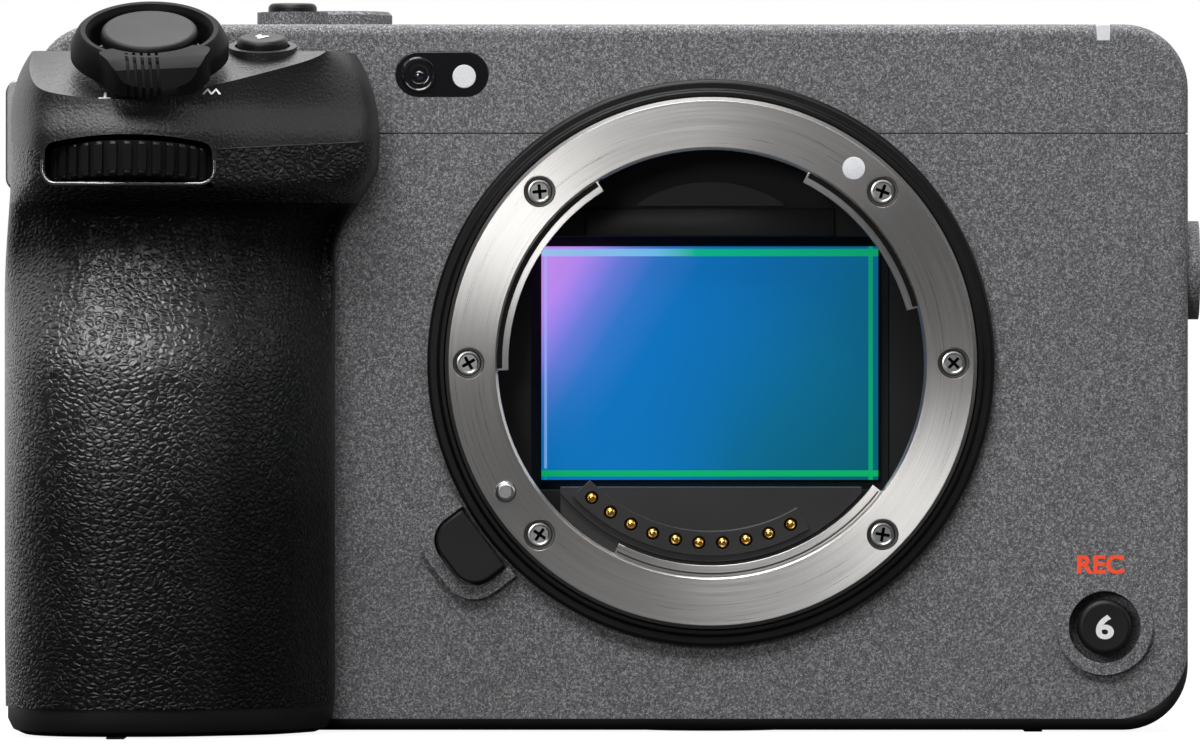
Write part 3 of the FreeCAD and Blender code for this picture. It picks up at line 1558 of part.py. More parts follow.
def monitor():
    near = size.body_rear + size.monitor_gap
    far = near + size.monitor_depth
    x, z = (size.monitor_left, size.monitor_right), (size.monitor_low, size.monitor_high)
    body = slab("XZ_Plane", [(x[0], z[0]), (x[1], z[0]), (x[1], z[1]), (x[0], z[1])], (near, far), "Monitor")
    round_edges(body, 3.0, edge_along("Y"), "MonitorCorners")
    round_edges(body, 0.8, lambda edge: edge.BoundBox.YLength < 1e-4, "MonitorRims")
    tilt_bore = rod("X", (size.hinge_y, size.tilt_z), 1.65, (x[1] - 6.0, x[1] + 1))
    shell = cut(body, monitor_screen(0.0), tilt_bore)
    node(shell, "monitor")
    node(monitor_screen(0.0), "monitor_screen")


def monitor_screen(extra):
    near = size.body_rear + size.monitor_gap
    return block((size.monitor_left + 4.0, size.monitor_right - 5.0), (near + 0.25, near + 1.6),
                 (size.monitor_low + 4.0, size.monitor_high - 4.0))


def monitor_bracket():
    x, y, z = size.hinge_x, size.hinge_y, size.tilt_z
    knuckle = rod("Z", (x, y), size.hinge_radius, (26.2, 42.8))
    shaft = rod("X", (y, z), 1.6, (size.monitor_right - 5.8, x))
    washer = rod("X", (y, z), 2.9, (size.monitor_right + 0.15, size.monitor_right + 0.75))
    bores = [rod("Z", (x, y), 1.05, (26, 29.1)), rod("Z", (x, y), 1.05, (39.9, 43))]
    return node(cut(fuse(knuckle, shaft, washer), *bores), "monitor_bracket")


def battery_door():
    low, thick = size.body_base, size.door_thickness
    x, y = door_span()
    knuckle = rod("Y", (x[1] - thick / 2, low + thick / 2), thick / 2, y)
    plate = block((x[0], x[1] - thick / 2), y, (low, low + thick))
    return node(cut(fuse(knuckle, plate), latch_opening()), "battery_door")


def latch_place():
    return size.battery_left + 3.0, size.battery_front + size.battery_depth / 2


def latch_opening():
    """Room in the door for the latch and its slide."""
    x, y = latch_place()
    low = size.body_base
    return block((x - 2.2, x + 2.2 + size.latch_travel), (y - 4.2, y + 4.2),
                 (low - 1, low + size.door_thickness + 1))


def battery_latch():
    x, y = latch_place()
    low, thick = size.body_base, size.door_thickness
    slider = block((x - 2.0, x + 2.0), (y - 4.0, y + 4.0), (low + 0.05, low + thick))
    grooves = [block((x - 1.4 + 1.1 * row, x - 0.9 + 1.1 * row), (y - 3.2, y + 3.2), (low - 1, low + 0.3))
               for row in range(3)]
    return node(cut(slider, *grooves), "battery_latch")


def card_door():
    left, thick = size.body_left, size.cover_thickness
    hinge = (left + thick / 2, size.card_front + thick / 2)
    span = (size.card_low, size.card_high)
    knuckle = rod("Z", hinge, thick / 2, span)
    plate = block((left, left + thick), (hinge[1], size.card_rear), span)
    return node(fuse(knuckle, plate), "card_door")


def port_covers():
    right, thick = size.body_right, size.cover_thickness
    for label, (low, high) in zip(("audio_cover", "digital_cover"), port_spans()):
        hinge = (right - thick / 2, size.port_front + 1.0)
        knuckle = rod("Z", hinge, thick / 2, (low + 0.25, high - 0.25))
        plate = block((right - thick, right), (hinge[1], size.port_rear - 0.25), (low + 0.25, high - 0.25))
        node(fuse(knuckle, plate), label)


def check_and_write():
    DOC.recompute()
    failed = [thing.Label for thing in DOC.Objects if "Invalid" in thing.State or "Error" in thing.State]
    if failed:
        raise RuntimeError(f"these objects failed: {failed}")
    labels = [piece.Label for piece in NODES]
    if len(set(labels)) != len(labels):
        raise RuntimeError("two sub-parts share a name")
    os.makedirs("parts", exist_ok=True)
    for piece in NODES:
        shape = piece.Shape
        if shape.isNull() or not shape.isValid() or not shape.Solids:
            raise RuntimeError(f"{piece.Label} has no sound shape")
        if any(solid.Volume <= 0 for solid in shape.Solids):
            raise RuntimeError(f"{piece.Label} is inside out")
        shape.exportStep(f"parts/{piece.Label}.step")
        print(f"{piece.Label:22s} solids {len(shape.Solids):3d}  volume {shape.Volume:10.1f}")


def build():
    for make in (
        front_cover, top_cover, rear_cover, side_cover, base_plate, grip_core, grip_skin, grip_head, thumb_rest,
        mount_collar, mount_ring, mount_screws, lock_pin, chassis, light_baffle, contact_block, contact_pins,
        shutter_frame, sensor_parts, heat_sink, fan_parts, main_board, battery, battery_case, card_slots,
        accessory_shoe, thread_inserts, tripod_socket, feet, strap_lugs, front_windows, housing_screws,
        connectors, grip_controls, wheels, joystick, top_controls, front_record_button, monitor, monitor_bracket,
        battery_door, battery_latch, card_door, port_covers,
    ):
        make()
    shutter_blade(0, "shutter_blade_lower")
    shutter_blade(1, "shutter_blade_upper")
    check_and_write()


build()
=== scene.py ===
"""Finishes, fine detail and studio for a compact cinema camera.

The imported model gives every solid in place. This script welds and rounds copies of the solids that
show, gives each its finish, adds what is too fine for the solids, and sets the camera and the lamps.
"""
import json
import math

import bmesh
import bpy
from mathutils import Matrix, Vector
from mathutils.bvhtree import BVHTree


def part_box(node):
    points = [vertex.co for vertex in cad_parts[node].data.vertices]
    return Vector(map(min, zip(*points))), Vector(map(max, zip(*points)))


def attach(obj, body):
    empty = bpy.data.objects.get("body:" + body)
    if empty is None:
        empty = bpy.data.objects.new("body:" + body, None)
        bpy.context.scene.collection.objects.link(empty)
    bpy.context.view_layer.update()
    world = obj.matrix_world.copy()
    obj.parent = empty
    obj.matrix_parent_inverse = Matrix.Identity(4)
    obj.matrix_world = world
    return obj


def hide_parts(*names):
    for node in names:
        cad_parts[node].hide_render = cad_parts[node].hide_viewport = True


MM = 0.001

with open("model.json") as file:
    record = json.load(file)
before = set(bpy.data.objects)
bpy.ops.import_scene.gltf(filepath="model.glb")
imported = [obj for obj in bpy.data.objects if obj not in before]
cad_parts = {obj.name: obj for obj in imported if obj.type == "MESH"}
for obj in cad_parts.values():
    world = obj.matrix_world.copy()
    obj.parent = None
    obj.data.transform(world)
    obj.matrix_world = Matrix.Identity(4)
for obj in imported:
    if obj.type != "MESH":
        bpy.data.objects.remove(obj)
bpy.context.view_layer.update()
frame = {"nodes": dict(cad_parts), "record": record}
solids = frame["nodes"]
bodies = frame["record"]["behaviour"]["bodies"]
carrier = {node: body for body, members in bodies.items() for node in members}

# Places that the solids were made with, in millimetres
LENS_Z = 40.0
FLANGE_Y = -18.0
FACE_Y = -15.0
SENSOR_HALF = (18.4, 12.75)
TOP_Z = 76.7
REAR_Y = 33.0
SLOPE = math.radians(25.5)
SLOPE_START = (-28.0, 73.45)
SEAM_Z = 64.8
SLOT_X = -62.15
SEAM_LEAN = 5.4
# Middle (x, z) and radius of the corner round which the base tray's black climbs
TRAY_CENTRE = (43.7, 9.5)
TRAY_RADIUS = 8.02
# Mount screws: their number, their circle, the step from place to place in degrees, and how many stand
# together before a place is skipped
SCREW_COUNT = 6
SCREW_CIRCLE = 26.2
SCREW_STEP = 45.0
SCREW_GROUP = 3


# Corners closer than this, in metres, become one, and so do faces at less than this angle, in degrees
WELD_DISTANCE = 0.000002
FLAT_ANGLE = 0.4


def mm(x, y, z):
    """A point given in millimetres."""
    return Vector((x, y, z)) * MM


# Node trees

def feed(tree, socket, value):
    """Links a socket to another, or sets its value."""
    if isinstance(value, bpy.types.NodeSocket):
        tree.links.new(value, socket)
    else:
        socket.default_value = value


def add_node(tree, kind, settings=None, **inputs):
    """A node with its settings and inputs. Inputs go by name, or by number as i0, i1 and so on."""
    made = tree.nodes.new(kind)
    for key, value in (settings or {}).items():
        setattr(made, key, value)
    for key, value in inputs.items():
        numbered = key[0] == "i" and key[1:].isdigit()
        feed(tree, made.inputs[int(key[1:]) if numbered else key.replace("_", " ")], value)
    return made


def add_maths(tree, operation, *values, clamp=False):
    """A node for one step of arithmetic; what comes out of it."""
    made = add_node(tree, "ShaderNodeMath", {"operation": operation, "use_clamp": clamp})
    for socket, value in zip(made.inputs, values):
        feed(tree, socket, value)
    return made.outputs[0]


class Finish:
    """A material under construction, with its shader and the object's own coordinates at hand."""

    def __init__(self, name, colour, roughness, metallic=0.0, **sockets):
        self.material = bpy.data.materials.new(name)
        self.material.use_nodes = True
        self.tree = self.material.node_tree
        self.shader = self.tree.nodes["Principled BSDF"]
        self.shader.inputs["Base Color"].default_value = (*colour, 1.0)
        self.shader.inputs["Roughness"].default_value = roughness
        self.shader.inputs["Metallic"].default_value = metallic
        for socket, value in sockets.items():
            self.shader.inputs[socket.replace("_", " ")].default_value = value
        self.where = self.node("ShaderNodeTexCoord").outputs["Object"]

    def node(self, kind, settings=None, **inputs):
        return add_node(self.tree, kind, settings, **inputs)

    def maths(self, operation, *values, clamp=False):
        return add_maths(self.tree, operation, *values, clamp=clamp)

    def vectors(self, operation, output="Vector", **inputs):
        return self.node("ShaderNodeVectorMath", {"operation": operation}, **inputs).outputs[output]

    def coordinates(self):
        return self.node("ShaderNodeSeparateXYZ", Vector=self.where).outputs

    def eased(self, value, low, high, at_low=0.0, at_high=1.0, way="SMOOTHSTEP"):
        """A value taken from one level to another, smoothly or evenly, as it passes from low to high."""
        return self.node("ShaderNodeMapRange", {"interpolation_type": way}, Value=value, From_Min=low,
                         From_Max=high, To_Min=at_low, To_Max=at_high).outputs[0]

    def noise(self, scale, detail=2.0, roughness=0.5, vector=None):
        made = self.node("ShaderNodeTexNoise", Vector=self.where if vector is None else vector, Scale=scale,
                         Detail=detail, Roughness=roughness)
        return made.outputs["Fac"]

    def ramp(self, factor, *stops):
        made = self.node("ShaderNodeValToRGB", Fac=factor)
        elements = made.color_ramp.elements
        while len(elements) < len(stops):
            elements.new(0.5)
        for element, (position, colour) in zip(elements, stops):
            element.position = position
            element.color = (*colour, 1.0) if len(colour) == 3 else colour
        return made.outputs["Color"]

    def mix(self, factor, a, b, blend="MIX"):
        made = self.node("ShaderNodeMix", {"data_type": "RGBA", "blend_type": blend})
        for index, value in ((0, factor), (6, a), (7, b)):
            feed(self.tree, made.inputs[index], value)
        return made.outputs[2]

    def bump(self, height, distance, strength=1.0, under=None):
        made = self.node("ShaderNodeBump", Height=height, Distance=distance, Strength=strength)
        if under is not None:
            feed(self.tree, made.inputs["Normal"], under)
        feed(self.tree, self.shader.inputs["Normal"], made.outputs[0])
        return made.outputs[0]

    def into(self, socket, value):
        feed(self.tree, self.shader.inputs[socket], value)


def grey(level):
    """A grey that leans a little to blue."""
    return (level, level, level * 1.04)


# Finishes

def speckled_paint():
    """Grey powder coat: pale and dark grains a quarter of a millimetre across. Round the lower right
    corner the base tray's black climbs past it."""
    finish = Finish("speckled_paint", grey(0.118), 0.62, Specular_IOR_Level=0.35)
    coarse = finish.noise(4300.0, 2.0, 0.75)
    fine = finish.noise(9000.0, 1.0, 0.5)
    grain = finish.mix(0.40, coarse, fine)
    colour = finish.ramp(grain, (0.36, grey(0.030)), (0.46, grey(0.082)), (0.54, grey(0.150)),
                         (0.64, grey(0.370)))
    drift = finish.noise(28.0, 2.0)
    worn = finish.ramp(drift, (0.35, (0.94, 0.94, 0.94)), (0.65, (1.05, 1.05, 1.05)))
    coat = finish.mix(1.0, colour, worn, "MULTIPLY")
    place = finish.coordinates()
    outward = finish.maths("MAXIMUM", finish.maths("SUBTRACT", place["X"], TRAY_CENTRE[0] * MM), 0.0)
    downward = finish.maths("MAXIMUM", finish.maths("SUBTRACT", TRAY_CENTRE[1] * MM, place["Z"]), 0.0)
    reach = finish.maths("SQRT", finish.maths("ADD", finish.maths("MULTIPLY", outward, outward),
                                              finish.maths("MULTIPLY", downward, downward)))
    below = finish.maths("GREATER_THAN", downward, 0.0)
    tray = finish.maths("MULTIPLY", finish.maths("GREATER_THAN", reach, TRAY_RADIUS * MM), below)
    finish.into("Base Color", finish.mix(tray, coat, (0.006, 0.006, 0.0062, 1.0)))
    finish.bump(coarse, 0.00005, 0.55)
    return finish.material


def black_satin(name, level, roughness, grain=9000.0, depth=0.000012, specular=0.4):
    """Black moulded or anodised surface with a faint grain and slightly uneven gloss."""
    finish = Finish(name, grey(level), roughness, Specular_IOR_Level=specular)
    uneven = finish.noise(60.0, 3.0)
    finish.into("Roughness", finish.eased(uneven, 0.3, 0.7, roughness - 0.05, roughness + 0.07, "LINEAR"))
    tone = finish.ramp(uneven, (0.3, grey(level * 0.85)), (0.7, grey(level * 1.2)))
    finish.into("Base Color", tone)
    finish.bump(finish.noise(grain, 2.0), depth, 0.6)
    return finish.material


def leather_rubber():
    """Grip rubber with a leather grain: shiny stretched pebbles under a millimetre long, close together."""
    finish = Finish("leather_grain_rubber", grey(0.010), 0.40, Specular_IOR_Level=0.42)
    warp = finish.node("ShaderNodeTexNoise", Vector=finish.where, Scale=700.0, Detail=2.0).outputs["Color"]
    centred = finish.vectors("SUBTRACT", i0=warp, i1=(0.5, 0.5, 0.5))
    shift = finish.vectors("SCALE", i0=centred, Scale=0.0007)
    moved = finish.vectors("ADD", i0=finish.where, i1=shift)
    slanted = finish.node("ShaderNodeMapping", Vector=moved, Scale=(1.0, 1.0, 1.45),
                          Rotation=(0.0, math.radians(20), 0.0)).outputs[0]
    pebbles = finish.node("ShaderNodeTexVoronoi", {"feature": "DISTANCE_TO_EDGE"}, Vector=slanted,
                          Scale=1180.0).outputs["Distance"]
    dome = finish.eased(pebbles, 0.0, 0.34)
    wrinkles = finish.noise(2600.0, 2.0, 0.55, vector=moved)
    height = finish.maths("ADD", dome, finish.maths("MULTIPLY", wrinkles, 0.30))
    finish.bump(height, 0.00011, 0.9)
    # Painted shade: colour and shine fall to near black in the finger recess under the head, beside the
    # body and towards the foot; above the recess they stay partly lit
    place = finish.coordinates()
    painted_shade_under_head = finish.eased(place["Z"], 46.5 * MM, 53.5 * MM, 1.0, 0.12)
    painted_shade_beside_body = finish.eased(place["X"], -55.5 * MM, -50.0 * MM, 1.0, 0.38)
    above = finish.maths("GREATER_THAN", place["Z"], 57.2 * MM)
    # Painted shade towards the foot: the lit share falls as the grip nears its bottom
    lower = finish.eased(place["Z"], 22.0 * MM, 38.0 * MM, 0.28, 1.0)
    painted_lit_bulge = finish.maths("MULTIPLY", finish.maths("MULTIPLY", painted_shade_under_head, lower), painted_shade_beside_body)
    painted_light_level = finish.maths("MAXIMUM", painted_lit_bulge, finish.maths("MULTIPLY", above, 0.45))
    tone = finish.ramp(pebbles, (0.02, grey(0.002)), (0.30, grey(0.009)))
    finish.into("Base Color", finish.mix(painted_light_level, (0.003, 0.003, 0.0032, 1.0), tone))
    finish.into("Specular IOR Level", finish.maths("MULTIPLY", painted_light_level, 0.80))
    finish.into("Roughness", finish.ramp(wrinkles, (0.3, (0.28, 0.28, 0.28)), (0.7, (0.38, 0.38, 0.38))))
    return finish.material


def turned_steel():
    """Lens mount ring: bright steel faced on a lathe, so its shine fans out from the lens axis."""
    finish = Finish("turned_steel", (0.60, 0.585, 0.57), 0.32, 1.0, Anisotropic=0.85)
    place = finish.coordinates()
    across = place["X"]
    up = finish.maths("SUBTRACT", place["Z"], LENS_Z * MM)
    outward = finish.node("ShaderNodeCombineXYZ", X=across, Y=0.0, Z=up).outputs[0]
    finish.into("Tangent", finish.vectors("NORMALIZE", i0=outward))
    radius = finish.vectors("LENGTH", "Value", i0=outward)
    angle = finish.maths("ARCTAN2", up, across)
    lathe = finish.node("ShaderNodeCombineXYZ", X=finish.maths("MULTIPLY", radius, 9000.0),
                        Y=finish.maths("MULTIPLY", angle, 1.6),
                        Z=finish.maths("MULTIPLY", place["Y"], 400.0)).outputs[0]
    grooves = finish.noise(1.0, 3.0, 0.6, vector=lathe)
    finish.bump(grooves, 0.000003, 0.35)
    finish.into("Base Color", finish.ramp(grooves, (0.3, (0.54, 0.525, 0.51)), (0.7, (0.66, 0.645, 0.63))))
    finish.into("Roughness", finish.ramp(grooves, (0.3, (0.27, 0.27, 0.27)), (0.7, (0.34, 0.34, 0.34))))
    return finish.material


def plain_metal(name, colour, roughness, grain=4000.0):
    """Machined or cast metal with a fine, slightly uneven grain."""
    finish = Finish(name, colour, roughness, 1.0)
    texture = finish.noise(grain, 2.0)
    dim = tuple(c * 0.85 for c in colour)
    finish.into("Base Color", finish.ramp(texture, (0.3, dim), (0.7, colour)))
    finish.bump(texture, 0.000006, 0.5)
    return finish.material


def sensor_painted_glow():
    """The sensor's face with its iridescent reflection painted in: violet at the upper left, blue in the
    middle, teal at the right and darker at the lower right, with pale and green lines just inside its
    edges. All of it also glows as painted light."""
    finish = Finish("sensor_painted_glow", (0.0, 0.13, 0.38), 0.30, Coat_Weight=0.15, Coat_Roughness=0.05,
                    Specular_IOR_Level=0.15)
    place = finish.coordinates()
    x = finish.maths("DIVIDE", place["X"], SENSOR_HALF[0] * MM)
    z = finish.maths("DIVIDE", finish.maths("SUBTRACT", place["Z"], LENS_Z * MM), SENSOR_HALF[1] * MM)
    slant = finish.maths("ADD", finish.maths("MULTIPLY", x, 0.38), finish.maths("MULTIPLY", z, -0.17))
    along = finish.maths("ADD", slant, 0.5, clamp=True)
    # Painted reflection: the iridescent colours run from violet at the upper left through blue to teal
    body = finish.ramp(along, (0.0, (0.62, 0.30, 1.0)), (0.05, (0.54, 0.28, 1.0)),
                       (0.10, (0.30, 0.24, 0.88)), (0.15, (0.13, 0.20, 0.72)),
                       (0.23, (0.025, 0.175, 0.58)), (0.34, (0.0, 0.155, 0.48)),
                       (0.50, (0.0, 0.138, 0.39)), (0.74, (0.0, 0.122, 0.25)), (1.0, (0.0, 0.10, 0.165)))
    # Painted reflection: bluer at the lower left and darker at the lower right
    low_part = finish.maths("SUBTRACT", 0.0, z, clamp=True)
    painted_reflection_low_left = finish.maths("MULTIPLY", low_part, finish.maths("SUBTRACT", 0.15, x, clamp=True))
    body = finish.mix(finish.maths("MULTIPLY", painted_reflection_low_left, 1.3, clamp=True), body, (0.0, 0.155, 0.46, 1.0))
    painted_reflection_low_right = finish.maths("MULTIPLY", low_part, finish.maths("ADD", x, 0.0, clamp=True))
    body = finish.mix(finish.maths("MULTIPLY", painted_reflection_low_right, 0.5, clamp=True), body, (0.0, 0.10, 0.14, 1.0))
    lines = []
    for value, middle, half, level in ((z, 0.948, 0.032, 1.0), (z, -0.945, 0.026, 1.0),
                                       (x, 0.955, 0.013, 0.9), (x, -0.975, 0.008, 0.45)):
        lines.append(finish.maths("MULTIPLY", finish.maths("COMPARE", value, middle, half), level))
    line = finish.maths("MAXIMUM", finish.maths("MAXIMUM", lines[0], lines[1]),
                        finish.maths("MAXIMUM", lines[2], lines[3]))
    across = finish.maths("MULTIPLY_ADD", x, 0.5, 0.5)
    pale_green = finish.ramp(across, (0.0, (0.40, 0.62, 1.0)), (0.34, (0.16, 0.52, 0.86)),
                             (0.46, (0.0, 0.46, 0.26)), (1.0, (0.0, 0.36, 0.15)))
    green = finish.mix(finish.maths("GREATER_THAN", z, -0.9), (0.0, 0.38, 0.12, 1.0), pale_green)
    colour = finish.mix(line, body, green)
    finish.into("Base Color", finish.mix(1.0, colour, (0.4, 0.4, 0.4, 1.0), "MULTIPLY"))
    # Painted glow: the face emits its own colours, standing in for lamp light that the deep mount keeps off
    # it
    finish.into("Emission Color", colour)
    finish.shader.inputs["Emission Strength"].default_value = 0.82
    return finish.material


def gloss(name, colour, roughness=0.08, coat=0.6):
    """Glossy glass or lacquer with faint smears."""
    finish = Finish(name, colour, roughness, Coat_Weight=coat, Coat_Roughness=0.03)
    smear = finish.noise(35.0, 3.0)
    finish.into("Roughness", finish.eased(smear, 0.0, 1.0, roughness, roughness + 0.06, "LINEAR"))
    return finish.material


def printed(name, colour):
    """Screen-printed ink."""
    finish = Finish(name, colour, 0.55)
    patchy = finish.noise(5000.0, 2.0)
    dim = tuple(c * 0.90 for c in colour)
    finish.into("Base Color", finish.ramp(patchy, (0.35, dim), (0.65, colour)))
    return finish.material


def circuit_board():
    """Green solder mask with paler traces."""
    finish = Finish("circuit_board", (0.01, 0.07, 0.03), 0.4)
    cells = finish.node("ShaderNodeTexVoronoi", {"feature": "DISTANCE_TO_EDGE", "distance": "CHEBYCHEV"},
                        Vector=finish.where, Scale=420.0).outputs["Distance"]
    finish.into("Base Color", finish.ramp(cells, (0.0, (0.02, 0.16, 0.07)), (0.12, (0.008, 0.06, 0.025))))
    return finish.material


PAINT = speckled_paint()
GRAIN = leather_rubber()
STEEL = turned_steel()
SENSOR = sensor_painted_glow()
HEAD_BLACK = black_satin("fascia_black", 0.013, 0.40, 3000.0, 0.00016, 0.42)
COLLAR_BLACK = black_satin("anodised_black", 0.004, 0.34, specular=0.20)
CHAMBER_BLACK = black_satin("chamber_black", 0.010, 0.62, specular=0.2)
BLOCK_BLACK = black_satin("contact_block_black", 0.020, 0.40, specular=0.35)
MOULDED_BLACK = black_satin("moulded_black", 0.020, 0.48, 5200.0, 0.00002)
CONTROL_BLACK = black_satin("control_black", 0.006, 0.40, 6000.0, 0.000012, 0.27)
BAND_BLACK = black_satin("base_black", 0.006, 0.50, 5200.0, 0.00002, 0.2)
COVER_RUBBER = black_satin("cover_rubber", 0.030, 0.70, 3000.0, 0.00003, 0.3)
GLOSS_BLACK = gloss("gloss_black", (0.006, 0.006, 0.007))
SCREEN_GLASS = gloss("screen_glass", (0.004, 0.0045, 0.006), 0.05, 1.0)
LENS_GLASS = gloss("lens_glass", (0.004, 0.006, 0.012), 0.04, 1.0)
SCREW_METAL = plain_metal("screw_steel", (0.52, 0.53, 0.52), 0.28)
INSERT_METAL = plain_metal("insert_steel", (0.42, 0.42, 0.43), 0.34)
GOLD = plain_metal("contact_gold", (0.86, 0.50, 0.12), 0.20)
LUG_METAL = plain_metal("lug_metal", (0.30, 0.30, 0.31), 0.42)
CAST_METAL = plain_metal("cast_magnesium", (0.28, 0.28, 0.29), 0.55, 1500.0)
SINK_METAL = plain_metal("sink_aluminium", (0.60, 0.61, 0.62), 0.38)
RIB_METAL = plain_metal("dial_rib_metal", (0.10, 0.10, 0.105), 0.26)
WHITE_INK = printed("white_print", (0.83, 0.83, 0.84))
LABEL_GREY = printed("grey_print", (0.42, 0.42, 0.43))
RED_INK = printed("red_print", (1.0, 0.075, 0.012))
LAMP_WHITE = printed("lamp_diffuser", (0.70, 0.71, 0.73))
# Painted shadow: a flat, almost unlit black for the front dial's body deep in its opening, the upper
# bayonet tab gaps and the inside of the screw crosses
SHADOW_BLACK = black_satin("painted_shadow_black", 0.004, 0.8, specular=0.1)
BOARD = circuit_board()
SHOE_METAL = plain_metal("shoe_steel", (0.15, 0.15, 0.155), 0.46)
# Painted shade: the ring's outer edge takes a darker, duller steel that dims the bright line its chamfer
# mirrors
DIMMED_EDGE_METAL = plain_metal("ring_edge_painted_shade", (0.20, 0.195, 0.19), 0.50)
LEVER_BLACK = black_satin("lever_black", 0.005, 0.48, 4000.0, 0.00003, 0.06)
DISC_BLACK = black_satin("shutter_disc_black", 0.007, 0.42, 6000.0, 0.000012, 0.13)
SEAM_METAL = plain_metal("seam_shine", (0.10, 0.10, 0.103), 0.35)
LIP_METAL = plain_metal("slot_lip_shine", (0.24, 0.24, 0.245), 0.24)
# Painted shade for the screw counterbores and the lower bayonet tab gap
WELL_SHADE_METAL = plain_metal("painted_well_shade", (0.085, 0.08, 0.075), 0.40)
STEP_BLACK = black_satin("chamber_step_black", 0.016, 0.52, specular=0.3)


# Meshes

def piece(name, mesh, material, body, replaced=()):
    """A finished object at the origin that rides on a body of the frame."""
    thing = bpy.data.objects.new(name, mesh)
    bpy.context.scene.collection.objects.link(thing)
    mesh.materials.clear()
    mesh.materials.append(material)
    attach(thing, body)
    if replaced:
        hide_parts(*replaced)
    return thing


def baked(thing):
    """The evaluated mesh of an object, which is removed with its modifiers."""
    bpy.context.view_layer.update()
    graph = bpy.context.evaluated_depsgraph_get()
    mesh = bpy.data.meshes.new_from_object(thing.evaluated_get(graph), depsgraph=graph)
    data = thing.data
    bpy.data.objects.remove(thing)
    if isinstance(data, bpy.types.Mesh):
        bpy.data.meshes.remove(data)
    return mesh


def loose(name, mesh):
    """An object that isn't a piece of the model."""
    thing = bpy.data.objects.new(name, mesh)
    bpy.context.scene.collection.objects.link(thing)
    return thing


def shaded(mesh, crease):
    """Smooth faces, with sharp edges past an angle."""
    work = bmesh.new()
    work.from_mesh(mesh)
    for face in work.faces:
        face.smooth = True
    for edge in work.edges:
        edge.smooth = len(edge.link_faces) == 2 and edge.calc_face_angle(0.0) < math.radians(crease)
    work.to_mesh(mesh)
    work.free()


def dress(node, material, edge=0.12, crease=34, segments=2, second=None, where=None, merged=True):
    """A welded copy of a solid with softened edges and smooth curves, shown in its place.
    Faces whose middle passes the test take the second finish. Flat faces with several openings
    stay in triangles."""
    mesh = solids[node].data.copy()
    work = bmesh.new()
    work.from_mesh(mesh)
    bmesh.ops.remove_doubles(work, verts=work.verts[:], dist=WELD_DISTANCE)
    if merged:
        bmesh.ops.dissolve_limit(work, angle_limit=math.radians(FLAT_ANGLE), verts=work.verts[:],
                                 edges=work.edges[:], use_dissolve_boundaries=False)
    work.to_mesh(mesh)
    work.free()
    shaded(mesh, crease)
    thing = loose(node + "_work", mesh)
    if edge:
        rounding = thing.modifiers.new("rounding", "BEVEL")
        rounding.width = edge * MM
        rounding.segments = segments
        rounding.limit_method = "ANGLE"
        rounding.angle_limit = math.radians(crease)
        rounding.use_clamp_overlap = True
        rounding.miter_outer = "MITER_ARC"
    even = thing.modifiers.new("even_shading", "WEIGHTED_NORMAL")
    even.keep_sharp = True
    result = baked(thing)
    dressed = piece(node + "_surface", result, material, carrier[node], (node,))
    if second:
        result.materials.append(second)
        for face in result.polygons:
            if where(face.center / MM, face.normal):
                face.material_index = 1
    return dressed


def in_slot_lip(middle, normal):
    """Whether a face of the grip's head lies in the rim under the front dial's opening."""
    half, low, high, front = 9.7, 58.4, 60.6, -30
    return abs(middle.x - SLOT_X) < half and low < middle.z < high and middle.y < front


def on_ring_edge(middle, normal):
    """Whether a face of the mount ring belongs to its outer edge."""
    face_radius, facing_front = 28.0, -0.97
    return math.hypot(middle.x, middle.z - LENS_Z) > face_radius and normal.y > facing_front


def on_diffuser(middle, normal):
    """Whether a face of the front windows belongs to the diffuser, the right one of the two."""
    return middle.x > 0


def keep(node, material):
    """A solid that stays as it is, with a better finish."""
    solid = solids[node]
    solid.data.materials.clear()
    solid.data.materials.append(material)


def finished(work, name, crease=None):
    """A plain mesh from a bmesh, with its faces outwards and, if asked, smooth up to an angle."""
    bmesh.ops.recalc_face_normals(work, faces=work.faces[:])
    mesh = bpy.data.meshes.new(name)
    work.to_mesh(mesh)
    work.free()
    if crease:
        shaded(mesh, crease)
    return mesh


def turned_mesh(profile, steps=64, ring=False):
    """A closed shape of revolution about Z from (radius, height) points in millimetres, bottom to top.
    A ring's profile closes on itself."""
    work = bmesh.new()
    around = [2 * math.pi * i / steps for i in range(steps)]
    rows = []
    for radius, height in profile:
        if radius == 0:
            rows.append([work.verts.new(mm(0, 0, height))])
        else:
            rows.append([work.verts.new(mm(radius * math.cos(a), radius * math.sin(a), height))
                         for a in around])
    pairs = list(zip(rows, rows[1:]))
    if ring:
        pairs.append((rows[-1], rows[0]))
    for lower, upper in pairs:
        for i in range(steps):
            j = (i + 1) % steps
            corners = [lower[i % len(lower)], lower[j % len(lower)],
                       upper[j % len(upper)], upper[i % len(upper)]]
            corners = list(dict.fromkeys(corners))
            if len(corners) > 2:
                work.faces.new(corners)
    if not ring:
        for ends in (rows[0], rows[-1]):
            if len(ends) > 1:
                work.faces.new(ends)
    return finished(work, "turned", 30)


def arc_strip(inner, outer, first, last, thick, steps=40):
    """A flat curved strip about Z between two radii and two angles."""
    work = bmesh.new()
    columns = []
    for i in range(steps + 1):
        angle = math.radians(first + (last - first) * i / steps)
        c, s = math.cos(angle), math.sin(angle)
        columns.append([work.verts.new(mm(r * c, r * s, h)) for r, h in
                        ((inner, 0), (outer, 0), (outer, thick), (inner, thick))])
    for a, b in zip(columns, columns[1:]):
        for i in range(4):
            j = (i + 1) % 4
            work.faces.new([a[i], a[j], b[j], b[i]])
    work.faces.new(columns[0][::-1])
    work.faces.new(columns[-1])
    return finished(work, "strip")


